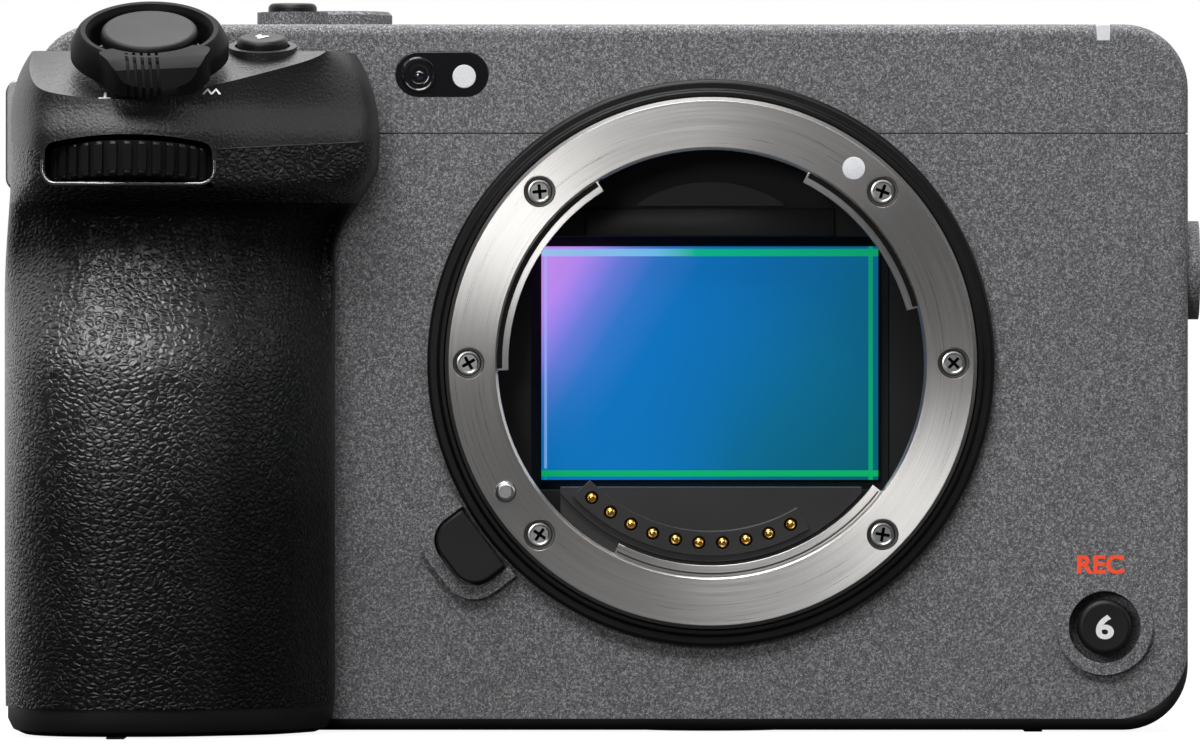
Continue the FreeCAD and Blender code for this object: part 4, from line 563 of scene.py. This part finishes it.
def bar_along(path, radius, sides=10):
    """A thin round bar along a path of points in millimetres, closed at both ends. Each section has a
    corner square to the depth."""
    work = bmesh.new()
    points = [mm(*point) for point in path]
    around = [2 * math.pi * i / sides for i in range(sides)]
    rows = []
    for index, point in enumerate(points):
        ahead = points[min(index + 1, len(points) - 1)] - points[max(index - 1, 0)]
        side = ahead.cross(Vector((0, 1, 0))).normalized()
        out = side.cross(ahead).normalized()
        rows.append([work.verts.new(point + radius * MM * (math.cos(a) * side + math.sin(a) * out))
                     for a in around])
    for near, far in zip(rows, rows[1:]):
        for i in range(sides):
            j = (i + 1) % sides
            work.faces.new([near[i], near[j], far[j], far[i]])
    work.faces.new(rows[0][::-1])
    work.faces.new(rows[-1])
    return finished(work, "bar", 60)


def upright_plate(outline, near, far):
    """A plate with an outline of (x, z) points, between two depths."""
    work = bmesh.new()
    front = [work.verts.new(mm(x, near, z)) for x, z in outline]
    back = [work.verts.new(mm(x, far, z)) for x, z in outline]
    work.faces.new(front)
    work.faces.new(back[::-1])
    for i in range(len(outline)):
        j = (i + 1) % len(outline)
        work.faces.new([front[i], back[i], back[j], front[j]])
    return finished(work, "plate")


def rounded_bar(width, depth, height, radius, steps=2):
    """A bar centred at the origin with rounded long edges, in millimetres."""
    work = bmesh.new()
    bmesh.ops.create_cube(work, size=1.0)
    bmesh.ops.scale(work, vec=mm(width, depth, height), verts=work.verts)
    bmesh.ops.bevel(work, geom=work.edges[:], offset=radius * MM, segments=steps, profile=0.5,
                    affect="EDGES")
    return finished(work, "bar", 60)


def joined(*meshes):
    """Several meshes as one."""
    work = bmesh.new()
    for mesh in meshes:
        work.from_mesh(mesh)
    result = bpy.data.meshes.new("joined")
    work.to_mesh(result)
    work.free()
    return result


# Places

FRONT = ((1, 0, 0), (0, 0, 1))
BACK = ((-1, 0, 0), (0, 0, 1))
SIDE_RIGHT = ((0, 1, 0), (0, 0, 1))
SIDE_LEFT = ((0, -1, 0), (0, 0, 1))
TOP = ((-1, 0, 0), (0, -1, 0))
PANEL = ((-1, 0, 0), (0, -math.cos(SLOPE), -math.sin(SLOPE)))
# How far print stands off the face under it, in millimetres
PRINT_LIFT = 0.006


def facing(right, up, place):
    """A placement whose X, Y and Z lie along right, up and their cross product."""
    right, up = Vector(right).normalized(), Vector(up).normalized()
    out = right.cross(up)
    turn = Matrix((right, up, out)).transposed().to_4x4()
    return Matrix.Translation(mm(*place)) @ turn


def set_in(name, mesh, place, material, body, replaced=()):
    """A piece whose mesh is first moved to its place."""
    mesh.transform(place)
    return piece(name, mesh, material, body, replaced)


def on_panel(x, y, lift=0.0):
    """A point above the sloping panel of the grip's head."""
    height = SLOPE_START[1] - (SLOPE_START[0] - y) * math.tan(SLOPE)
    return x, y - lift * math.sin(SLOPE), height + lift * math.cos(SLOPE)


def corners_of(node):
    """Low corner, middle and high corner of a piece, in millimetres."""
    low, high = (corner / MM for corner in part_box(node))
    return low, (low + high) / 2, high


def lettering(name, text, height, place, view, material, body="camera", width=None, weight=0.0):
    """Printed text, fitted to a letter height and, if given, a width."""
    curve = bpy.data.curves.new(name, "FONT")
    curve.body = text
    curve.align_x = "CENTER"
    curve.align_y = "CENTER"
    curve.size = 1.0
    curve.offset = weight
    curve.extrude = 0.01
    curve.resolution_u = 6
    mesh = baked(loose(name + "_work", curve))
    spans = [[v.co[i] for v in mesh.vertices] for i in (0, 1)]
    low, high = [min(s) for s in spans], [max(s) for s in spans]
    tall = height * MM / (high[1] - low[1])
    wide = width * MM / (high[0] - low[0]) if width else tall
    middle = Vector(((low[0] + high[0]) / 2, (low[1] + high[1]) / 2, 0))
    mesh.transform(Matrix.Translation(-middle))
    mesh.transform(Matrix.Diagonal((wide, tall, 2 * MM, 1)))
    return set_in(name, mesh, facing(*view, place), material, body)


# Geometry Nodes

FLOAT = "NodeSocketFloat"
WHOLE = "NodeSocketInt"


class Pattern:
    """A Geometry Nodes tree under construction, with named inputs."""

    def __init__(self, name, **kinds):
        self.name = name
        self.tree = bpy.data.node_groups.new(name, "GeometryNodeTree")
        ends = self.tree.interface
        ends.new_socket("Geometry", in_out="OUTPUT", socket_type="NodeSocketGeometry")
        ends.new_socket("Geometry", in_out="INPUT", socket_type="NodeSocketGeometry")
        kinds["Finish"] = "NodeSocketMaterial"
        self.sockets = {label: ends.new_socket(label.replace("_", " "), in_out="INPUT", socket_type=kind)
                        for label, kind in kinds.items()}
        self.inputs = self.tree.nodes.new("NodeGroupInput").outputs

    def given(self, label):
        return self.inputs[label.replace("_", " ")]

    def node(self, kind, settings=None, **inputs):
        return add_node(self.tree, kind, settings, **inputs)

    def maths(self, operation, *values):
        return add_maths(self.tree, operation, *values)

    def grown(self, geometry, mesh, **values):
        """The finished plain mesh, once the geometry is made real and coated."""
        real = self.node("GeometryNodeRealizeInstances", i0=geometry).outputs[0]
        coated = self.node("GeometryNodeSetMaterial", Geometry=real, Material=self.given("Finish"))
        self.tree.links.new(coated.outputs[0], self.tree.nodes.new("NodeGroupOutput").inputs[0])
        holder = loose(self.name + "_holder", mesh)
        modifier = holder.modifiers.new(self.name, "NODES")
        modifier.node_group = self.tree
        for label, value in values.items():
            modifier[self.sockets[label].identifier] = value
        result = baked(holder)
        bpy.data.node_groups.remove(self.tree)
        return result


def repeat_on_circle(name, template, count, radius, material, start, step, group=0, turn=None):
    """Copies of a mesh at even steps on a circle about Z, as one plain mesh. Where a group is given, one
    place is skipped after each group of copies, and the first group is one short. The copies turn with
    their places, or by the two angles in turn: the first copy's and what each next one adds."""
    pattern = Pattern(name, Count=WHOLE, Radius=FLOAT, Start=FLOAT, Step=FLOAT, Group=FLOAT,
                      First_Turn=FLOAT, Turn_Step=FLOAT, Template="NodeSocketObject")
    index = pattern.node("GeometryNodeInputIndex").outputs[0]
    groups = pattern.maths("DIVIDE", pattern.maths("ADD", index, 1.0), pattern.given("Group"))
    place = pattern.maths("ADD", index, pattern.maths("FLOOR", groups))
    angle = pattern.maths("MULTIPLY_ADD", place, pattern.given("Step"), pattern.given("Start"))
    reach = pattern.node("ShaderNodeCombineXYZ", X=pattern.given("Radius")).outputs[0]
    swing = pattern.node("ShaderNodeVectorRotate", {"rotation_type": "Z_AXIS"}, Vector=reach,
                         Angle=angle).outputs[0]
    points = pattern.node("GeometryNodePoints", Count=pattern.given("Count"), Position=swing).outputs[0]
    source = pattern.node("GeometryNodeObjectInfo", Object=pattern.given("Template")).outputs["Geometry"]
    spin = pattern.maths("MULTIPLY_ADD", index, pattern.given("Turn_Step"), pattern.given("First_Turn"))
    rotation = pattern.node("ShaderNodeCombineXYZ", Z=spin).outputs[0]
    instances = pattern.node("GeometryNodeInstanceOnPoints", Points=points, Instance=source,
                             Rotation=rotation).outputs[0]
    model = loose(name + "_template", template)
    first_turn, turn_step = turn or (start, step)
    mesh = pattern.grown(instances, bpy.data.meshes.new(name), Count=count, Radius=radius * MM,
                         Start=math.radians(start), Step=math.radians(step),
                         Group=float(group or 10 * count), First_Turn=math.radians(first_turn),
                         Turn_Step=math.radians(turn_step), Template=model, Finish=material)
    bpy.data.objects.remove(model)
    return mesh


# Casing and controls

FINE = {"segments": 3}
for node, material, edge, more in (
        ("front_cover", PAINT, 0.14, {}), ("top_cover", PAINT, 0.14, {}),
        ("rear_cover", PAINT, 0.14, {}), ("card_door", PAINT, 0.14, {}),
        ("side_cover", PAINT, 0.10, dict(merged=False)), ("base_plate", BAND_BLACK, 0.2, {}),
        ("feet", COVER_RUBBER, 0.15, {}),
        ("grip_head", HEAD_BLACK, 0.24, dict(crease=30, segments=3, second=GLOSS_BLACK, where=in_slot_lip)),
        ("grip_skin", GRAIN, 0.0, dict(crease=40)), ("thumb_rest", GRAIN, 0.3, {}),
        ("mount_ring", STEEL, 0.10, dict(second=DIMMED_EDGE_METAL, where=on_ring_edge)),
        ("mount_collar", COLLAR_BLACK, 0.12, {}), ("lock_pin", SCREW_METAL, 0.12, {}),
        ("release_button", CONTROL_BLACK, 0.25, FINE), ("light_baffle", CHAMBER_BLACK, 0.1, {}),
        ("contact_block", BLOCK_BLACK, 0.12, {}), ("sensor_glass", SENSOR, 0.0, {}),
        ("sensor_stage", CHAMBER_BLACK, 0.1, {}), ("stabiliser_carrier", CHAMBER_BLACK, 0.1, {}),
        ("shutter_frame", CHAMBER_BLACK, 0.1, {}), ("front_record_button", CONTROL_BLACK, 0.2, FINE),
        ("front_windows", GLOSS_BLACK, 0.08, dict(second=LAMP_WHITE, where=on_diffuser)),
        ("zoom_lever", LEVER_BLACK, 0.2, FINE), ("shutter_button", DISC_BLACK, 0.25, FINE),
        ("grip_button", CONTROL_BLACK, 0.2, FINE), ("top_record_button", CONTROL_BLACK, 0.2, FINE),
        ("top_button", CONTROL_BLACK, 0.2, FINE), ("function_button", CONTROL_BLACK, 0.2, FINE),
        ("wheel_button", CONTROL_BLACK, 0.2, FINE), ("power_lever", PAINT, 0.2, FINE),
        ("rear_dial", CONTROL_BLACK, 0.1, {}), ("control_wheel", CONTROL_BLACK, 0.1, {}),
        # The front dial's body, deep in its opening, takes the painted shadow black
        ("front_dial", SHADOW_BLACK, 0.1, {}), ("joystick", COVER_RUBBER, 0.2, {}),
        ("strap_lug", LUG_METAL, 0.2, {}), ("accessory_shoe", SHOE_METAL, 0.1, {}),
        ("thread_inserts", INSERT_METAL, 0.12, {}), ("tripod_socket", INSERT_METAL, 0.15, {}),
        ("housing_screws", SCREW_METAL, 0.05, {}), ("monitor", MOULDED_BLACK, 0.35, FINE),
        ("monitor_screen", SCREEN_GLASS, 0.1, {}), ("monitor_bracket", MOULDED_BLACK, 0.2, {}),
        ("battery_door", BAND_BLACK, 0.25, {}), ("battery_latch", CONTROL_BLACK, 0.12, {}),
        ("audio_cover", COVER_RUBBER, 0.25, {}), ("digital_cover", COVER_RUBBER, 0.25, {}),
        ("connectors", MOULDED_BLACK, 0.08, {})):
    dress(node, material, edge, **more)
for inner, material in (
        ("chassis", CAST_METAL), ("main_board", BOARD), ("heat_sink", SINK_METAL),
        ("fan_housing", MOULDED_BLACK), ("fan_rotor", MOULDED_BLACK), ("battery", MOULDED_BLACK),
        ("battery_case", MOULDED_BLACK), ("grip_core", MOULDED_BLACK), ("card_slots", MOULDED_BLACK),
        ("shutter_blade_upper", CHAMBER_BLACK), ("shutter_blade_lower", CHAMBER_BLACK)):
    keep(inner, material)


# Lens mount detail

def contact_domes():
    """Ten spring pins with round gold tips, on an arc about the lens axis."""
    count, reach, first, pitch, depth = 10, 19.45, 228.5, 7.53, -16.2
    dome = turned_mesh([(0.0, -3.6), (0.62, -3.6), (0.62, 0.35), (0.57, 0.62), (0.40, 0.86), (0.2, 0.97),
                        (0.0, 1.0)], 20)
    pins = repeat_on_circle("contact_pins_arc", dome, count, reach, GOLD, first, pitch)
    set_in("contact_pin_tips", pins, facing(*FRONT, (0, depth, LENS_Z)), GOLD, carrier["contact_pins"],
           ("contact_pins",))


def index_mark():
    """The white dot that a lens is lined up with."""
    disc = turned_mesh([(0.0, -0.2), (1.22, -0.2), (1.22, 0.02), (1.1, 0.05), (0.0, 0.05)], 40)
    angle, reach = math.radians(53.8), 26.08
    place = facing(*FRONT, (reach * math.cos(angle), FLANGE_Y, LENS_Z + reach * math.sin(angle)))
    set_in("mount_index_mark", disc, place, LAMP_WHITE, "camera")


def cross_head_screw():
    """A pan-head screw with a cross cut into its head."""
    profile = [(0.0, -3.0), (0.95, -3.0), (0.95, -0.55), (1.38, -0.5), (1.38, -0.12), (1.26, 0.02),
               (1.08, 0.06), (0.92, -0.04), (0.0, -0.04)]
    blank = loose("screw_blank", turned_mesh(profile, 40))
    blade = rounded_bar(0.34, 1.55, 1.4, 0.05, 1)
    other = blade.copy()
    other.transform(Matrix.Rotation(math.radians(90), 4, "Z"))
    tool = loose("screw_cross", joined(blade, other))
    cutting = blank.modifiers.new("cross_recess", "BOOLEAN")
    cutting.object = tool
    cutting.solver = "EXACT"
    cutting.use_self = True
    screw = baked(blank)
    bpy.data.objects.remove(tool)
    shaded(screw, 30)
    return screw


def mount_screws():
    """Six recessed screws. The faces inside each cross take the painted shadow black, and each head sits in
    a dark annulus, painted shade standing in for its counterbore.
    """
    head_y, cross_y, cross_reach = -17.92, -17.86, 0.84
    circle = dict(start=0.0, step=SCREW_STEP, group=SCREW_GROUP)
    screws = repeat_on_circle("screw_circle", cross_head_screw(), SCREW_COUNT, SCREW_CIRCLE, SCREW_METAL,
                              turn=(-45.0, 25.0), **circle)
    heads = set_in("mount_screw_heads", screws, facing(*FRONT, (0, head_y, LENS_Z)), SCREW_METAL,
                   carrier["mount_screws"], ("mount_screws",))
    # Painted shadow: the faces inside the cross recesses turn black
    heads.data.materials.append(SHADOW_BLACK)
    for face in heads.data.polygons:
        x, y, z = face.center / MM
        turn = math.radians(round(math.degrees(math.atan2(z - LENS_Z, x)) / SCREW_STEP) * SCREW_STEP)
        across = math.hypot(x - SCREW_CIRCLE * math.cos(turn), z - LENS_Z - SCREW_CIRCLE * math.sin(turn))
        if y > cross_y and across < cross_reach:
            face.material_index = 1
    # Painted shade: a dark steel annulus where each counterbore lies in shade
    well = turned_mesh([(1.37, -0.15), (1.66, -0.15), (1.68, 0.0), (1.64, 0.02), (1.40, 0.0)], 40,
                       ring=True)
    wells = repeat_on_circle("well_circle", well, SCREW_COUNT, SCREW_CIRCLE, WELL_SHADE_METAL,
                             turn=(0.0, 0.0), **circle)
    set_in("mount_screw_wells", wells, facing(*FRONT, (0, FLANGE_Y, LENS_Z)), WELL_SHADE_METAL,
           carrier["mount_ring"])


def tab_gap_shadows():
    """Painted shadow: thin dark strips where the steps between the ring's bore and its bayonet tabs lie in
    shade.
    """
    thick = 0.06
    place = facing(*FRONT, (0, FLANGE_Y + 2 * thick, LENS_Z))
    upper = joined(*[arc_strip(22.58, 23.14, first, last, thick)
                     for first, last in ((15.5, 62.5), (122.5, 181.5))])
    set_in("bayonet_tab_gaps", upper, place, SHADOW_BLACK, carrier["mount_ring"])
    lower = arc_strip(22.66, 22.84, 243.5, 322.5, thick)
    set_in("bayonet_low_tab_gap", lower, place, WELL_SHADE_METAL, carrier["mount_ring"])


def chamber_steps():
    """The raised plate and the arched step on the chamber's back wall above the sensor."""
    plate = rounded_bar(27.0, 0.5, 3.0, 0.12, 1)
    plate.transform(Matrix.Translation(mm(0, -8.75, 55.32)))
    rise, middle, foot = 14.6, 45.1, 57.1
    edge = [(rise * math.sin(math.radians(a)), middle + rise * math.cos(math.radians(a)))
            for a in range(-35, 36, 2)]
    outline = [(x, z) for x, z in edge if z > foot]
    outline += [(outline[-1][0], foot), (outline[0][0], foot)]
    arch = upright_plate(outline, -8.95, -8.5)
    piece("chamber_steps", joined(plate, arch), STEP_BLACK, carrier["light_baffle"])


# Grip head

GRIP_FACE = BVHTree.FromPolygons([v.co for v in solids["grip_head"].data.vertices],
                                 [tuple(p.vertices) for p in solids["grip_head"].data.polygons])


def depth_at(x, z):
    """How far back the head's front lies at a place, in millimetres, if it is there."""
    spot = GRIP_FACE.ray_cast(mm(x, -60, z), Vector((0, 1, 0)))[0]
    return spot.y / MM if spot else None


def front_dial_ribs():
    """Glossy ribs between the notches of the front dial, which leans back."""
    count, reach, first, lean = 38, 9.25, 4.7, -10.0
    rib = rounded_bar(0.62, 0.85, 3.6, 0.2)
    ribs = repeat_on_circle("front_dial_rib_ring", rib, count, reach, RIB_METAL, first, 360.0 / count)
    middle = corners_of("front_dial")[1] * MM
    place = Matrix.Translation(middle) @ Matrix.Rotation(math.radians(lean), 4, "X")
    set_in("front_dial_ribs", ribs, place, CONTROL_BLACK, carrier["front_dial"])


def dial_slot_lip():
    """The glossy lip under the front dial's opening, laid on the front of the grip."""
    half, low, high, corner, arc_steps = 9.08, 59.05, 61.6, 1.45, 8
    spacing, stand_out, deepest = 0.5, 0.05, -28
    left, right = SLOT_X - half, SLOT_X + half
    outline = [(left, high)]
    for centre, first in ((left + corner, 180), (right - corner, 270)):
        for step in range(arc_steps + 1):
            angle = math.radians(first + 90 * step / arc_steps)
            outline.append((centre + corner * math.cos(angle), low + corner + corner * math.sin(angle)))
    outline.append((right, high))
    points = []
    for (x0, z0), (x1, z1) in zip(outline, outline[1:]):
        count = max(1, round(math.hypot(x1 - x0, z1 - z0) / spacing))
        points += [(x0 + (x1 - x0) * i / count, z0 + (z1 - z0) * i / count) for i in range(count)]
    points.append(outline[-1])
    depths = [depth_at(x, z) for x, z in points]
    depths = [depth if depth is not None and depth < deepest else None for depth in depths]
    last = next(depth for depth in depths if depth is not None)
    path = []
    for (x, z), depth in zip(points, depths):
        last = last if depth is None else depth
        path.append((x, last - stand_out, z))
    piece("dial_slot_lip", bar_along(path, 0.21), LIP_METAL, "camera")


def fascia_seam():
    """The fine bright line where the fascia meets the rubber, from the dial's opening to the body."""
    start, spacing, count, tries = -52.4, 0.5, 34, 5
    first_guess, above_seam, lift, clear = 63.6, 0.12, 0.03, 0.3
    slope = math.tan(math.radians(SEAM_LEAN))
    path = []
    for step in range(count):
        x = start + step * spacing
        z, depth = first_guess, None
        for _ in range(tries):
            found = depth_at(x, z + above_seam)
            if found is None:
                break
            depth = found
            z = SEAM_Z + (depth - FACE_Y) * slope
        if depth is not None and depth < FACE_Y - clear:
            path.append((x, depth, z + lift))
    piece("fascia_seam_line", bar_along(path, 0.075), SEAM_METAL, "camera")


def grip_button_digit():
    """The digit on the small leaning button beside the lever, to be read from behind the camera."""
    lean, radius = math.radians(13.0), 2.72
    # A place (y, z) on the button's axis
    axis_y, axis_z = -27.3, 74.0
    height = corners_of("grip_button")[2].z - radius * math.sin(lean)
    depth = axis_y - (height - axis_z) * math.tan(lean)
    view = ((-1, 0, 0), (0, -math.cos(lean), -math.sin(lean)))
    lettering("grip_button_digit", "4", 1.9, (-48.2, depth - 0.03, height + 0.09), view, WHITE_INK,
              carrier["grip_button"], 1.45, 0.02)


def lever_letters():
    """The words' initials on the panel at both sides of the zoom lever."""
    for name, letter, x, y, width in (("lever_tele_letter", "T", -64.6, -38.6, 1.35),
                                      ("lever_wide_letter", "W", -53.3, -37.6, 2.0)):
        lettering(name, letter, 1.5, on_panel(x, y, 0.01), PANEL, WHITE_INK, width=width, weight=0.01)


# Front face

def window_detail():
    """The light sensor's stepped lens and the white diffuser behind the front window."""
    ring = turned_mesh([(0.0, -0.4), (1.78, -0.4), (1.78, 0.03), (1.66, 0.06), (1.50, 0.0), (1.38, -0.10),
                        (1.22, -0.10), (1.10, 0.02), (0.92, 0.0), (0.72, -0.14), (0.0, -0.14)], 48)
    set_in("light_sensor_rings", ring, facing(*FRONT, (-31.6, -15.25, 71.2)), GLOSS_BLACK, "camera")
    bead = turned_mesh([(0.0, -0.2), (0.66, -0.2), (0.60, -0.06), (0.42, 0.04), (0.2, 0.08),
                        (0.0, 0.09)], 32)
    set_in("light_sensor_bead", bead, facing(*FRONT, (-31.55, -15.25, 71.1)), LENS_GLASS, "camera")
    dot = turned_mesh([(0.0, -0.3), (1.26, -0.3), (1.26, -0.02), (1.2, 0.02), (0.0, 0.02)], 48)
    set_in("diffuser_dot", dot, facing(*FRONT, (-26.7, -15.02, 71.03)), LAMP_WHITE, "camera")


def record_print():
    """The word above the front record button and the digit on it."""
    lettering("front_record_label", "REC", 2.07, (42.2, FACE_Y - 0.005, 18.2), FRONT, RED_INK, width=5.1,
              weight=0.030)
    front = corners_of("front_record_button")[0].y
    lettering("front_record_digit", "6", 2.65, (42.6, front - 0.005, 11.44), FRONT, WHITE_INK,
              carrier["front_record_button"], 1.95, 0.028)


# Faces that the photograph doesn't show

def plain_labels():
    """Small generic words and digits beside the controls on the other faces."""
    above, behind = TOP_Z + PRINT_LIFT, REAR_Y + PRINT_LIFT
    power, power_high = corners_of("power_lever")[1:]
    for name, text, side in (("power_off_label", "OFF", 7.2), ("power_on_label", "ON", -7.2)):
        lettering(name, text, 1.15, (power.x + side, power_high.y - 1.4, above), TOP, WHITE_INK)
    record = corners_of("top_record_button")[1]
    lettering("top_record_label", "REC", 1.2, (record.x + 6.3, record.y, above), TOP, RED_INK)
    second, second_high = corners_of("top_button")[1:]
    lettering("top_button_digit", "1", 1.5, (second.x, second.y, second_high.z - 0.004), TOP, WHITE_INK,
              carrier["top_button"])
    function, function_high = corners_of("function_button")[1:]
    lettering("function_label", "MENU", 1.2, (function.x, behind, function_high.z + 1.5), BACK, WHITE_INK)
    for name, text, node, rise in (("audio_label", "MIC", "audio_cover", 3.0),
                                   ("phones_label", "PHONES", "audio_cover", -3.0),
                                   ("data_label", "DATA", "digital_cover", 0.0)):
        cover, cover_high = corners_of(node)[1:]
        place = (cover_high.x - 0.004, cover.y, cover.z + rise)
        lettering(name, text, 1.5, place, SIDE_RIGHT, LABEL_GREY, carrier[node])
    card_low, card = corners_of("card_door")[:2]
    lettering("card_label", "1 / 2", 1.6, (card_low.x + 0.004, card.y, card.z), SIDE_LEFT, LABEL_GREY,
              carrier["card_door"])


for add in (contact_domes, index_mark, mount_screws, tab_gap_shadows, chamber_steps, record_print, lever_letters,
            front_dial_ribs, dial_slot_lip, fascia_seam, window_detail, grip_button_digit, plain_labels):
    add()


# Studio

def lamp(name, place, power, wide, tall, target=(-10, -10, 42)):
    """A rectangular softbox at a place in metres, aimed at a point in millimetres."""
    light = bpy.data.lights.new(name, "AREA")
    light.shape = "RECTANGLE"
    light.size = wide
    light.size_y = tall
    light.energy = power
    thing = bpy.data.objects.new(name, light)
    thing.visible_camera = False
    thing.location = place
    aim = mm(*target) - Vector(place)
    thing.rotation_euler = aim.to_track_quat("-Z", "Y").to_euler()
    bpy.context.scene.collection.objects.link(thing)


def surroundings():
    """White behind the object, for the camera and for what metal and glass mirror of it, and a soft
    fall to dark towards the camera for every other ray."""
    world = bpy.data.worlds.new("studio_world")
    bpy.context.scene.world = world
    world.use_nodes = True
    tree = world.node_tree
    rays = add_node(tree, "ShaderNodeLightPath").outputs
    around = add_node(tree, "ShaderNodeTexCoord").outputs["Generated"]
    direction = add_node(tree, "ShaderNodeSeparateXYZ", i0=around).outputs
    level = add_maths(tree, "MULTIPLY_ADD", direction["Y"], 0.42, 0.46)
    raised = add_maths(tree, "MULTIPLY_ADD", direction["Z"], 0.16, level)
    ramp = add_node(tree, "ShaderNodeValToRGB", Fac=raised)
    for element, position, colour in zip(ramp.color_ramp.elements, (0.42, 0.72),
                                         ((0.03, 0.03, 0.032, 1), (0.95, 0.95, 0.96, 1))):
        element.position = position
        element.color = colour
    mirrored = add_maths(tree, "MAXIMUM", rays["Is Glossy Ray"], rays["Is Transmission Ray"])
    backdrop = add_maths(tree, "GREATER_THAN", direction["Y"], 0.5)
    shown = add_maths(tree, "MULTIPLY_ADD", mirrored, backdrop, rays["Is Camera Ray"], clamp=True)
    mix = add_node(tree, "ShaderNodeMix", {"data_type": "RGBA"}, i0=shown, i6=ramp.outputs["Color"],
                   i7=(1, 1, 1, 1))
    background = tree.nodes["Background"]
    tree.links.new(mix.outputs[2], background.inputs["Color"])
    background.inputs["Strength"].default_value = 1.0


def pale_floor():
    """A floor that the camera sees as white, with the object's shadow, and that throws little light up."""
    reach = 6.0
    sheet = bpy.data.meshes.new("floor")
    sheet.from_pydata([(-reach, -reach, 0), (reach, -reach, 0), (reach, reach, 0), (-reach, reach, 0)], [],
                      [(0, 1, 2, 3)])
    pale = Finish("pale_floor", (0.90, 0.90, 0.90), 0.7, Specular_IOR_Level=0.1)
    rays = pale.node("ShaderNodeLightPath").outputs
    mirrored = pale.maths("MAXIMUM", rays["Is Glossy Ray"], rays["Is Transmission Ray"])
    behind = pale.maths("GREATER_THAN", pale.coordinates()["Y"], 0.3)
    seen = pale.maths("MAXIMUM", rays["Is Camera Ray"], pale.maths("MULTIPLY", mirrored, behind))
    pale.into("Base Color", pale.mix(seen, (0.06, 0.06, 0.061, 1), (0.10, 0.10, 0.10, 1)))
    pale.into("Emission Color", pale.mix(seen, (0, 0, 0, 1), (0.93, 0.93, 0.93, 1)))
    pale.shader.inputs["Emission Strength"].default_value = 1.0
    sheet.materials.append(pale.material)
    loose("floor", sheet)


def photographer():
    """A long lens level with the lens axis, about 1.3 metres in front of the mount."""
    view = bpy.data.cameras.new("photograph")
    view.sensor_width = 36.0
    view.lens = 361.1
    view.clip_start = 0.05
    view.clip_end = 50.0
    thing = bpy.data.objects.new("photograph", view)
    thing.location = mm(-12.0, -1318.0, 39.03)
    thing.rotation_euler = (math.radians(90), 0, 0)
    bpy.context.scene.collection.objects.link(thing)
    bpy.context.scene.camera = thing


lamp("overhead_softbox", (-0.15, 0.10, 1.45), 26.0, 1.3, 0.9)
lamp("key_softbox", (-0.26, -0.95, 1.20), 10.0, 0.8, 0.5)
lamp("near_strip", (-0.05, -0.20, 0.235), 0.50, 0.5, 0.08, target=(-10, -15, 30))
lamp("mount_softbox", (-0.332, -1.146, 0.28), 2.8, 0.30, 0.24)
lamp("side_softbox", (1.15, -0.25, 0.45), 2.0, 0.5, 0.7)
lamp("back_softbox", (-0.05, 0.90, 1.12), 4.0, 0.9, 0.7)
surroundings()
pale_floor()
photographer()
bpy.context.scene.view_settings.view_transform = "Standard"
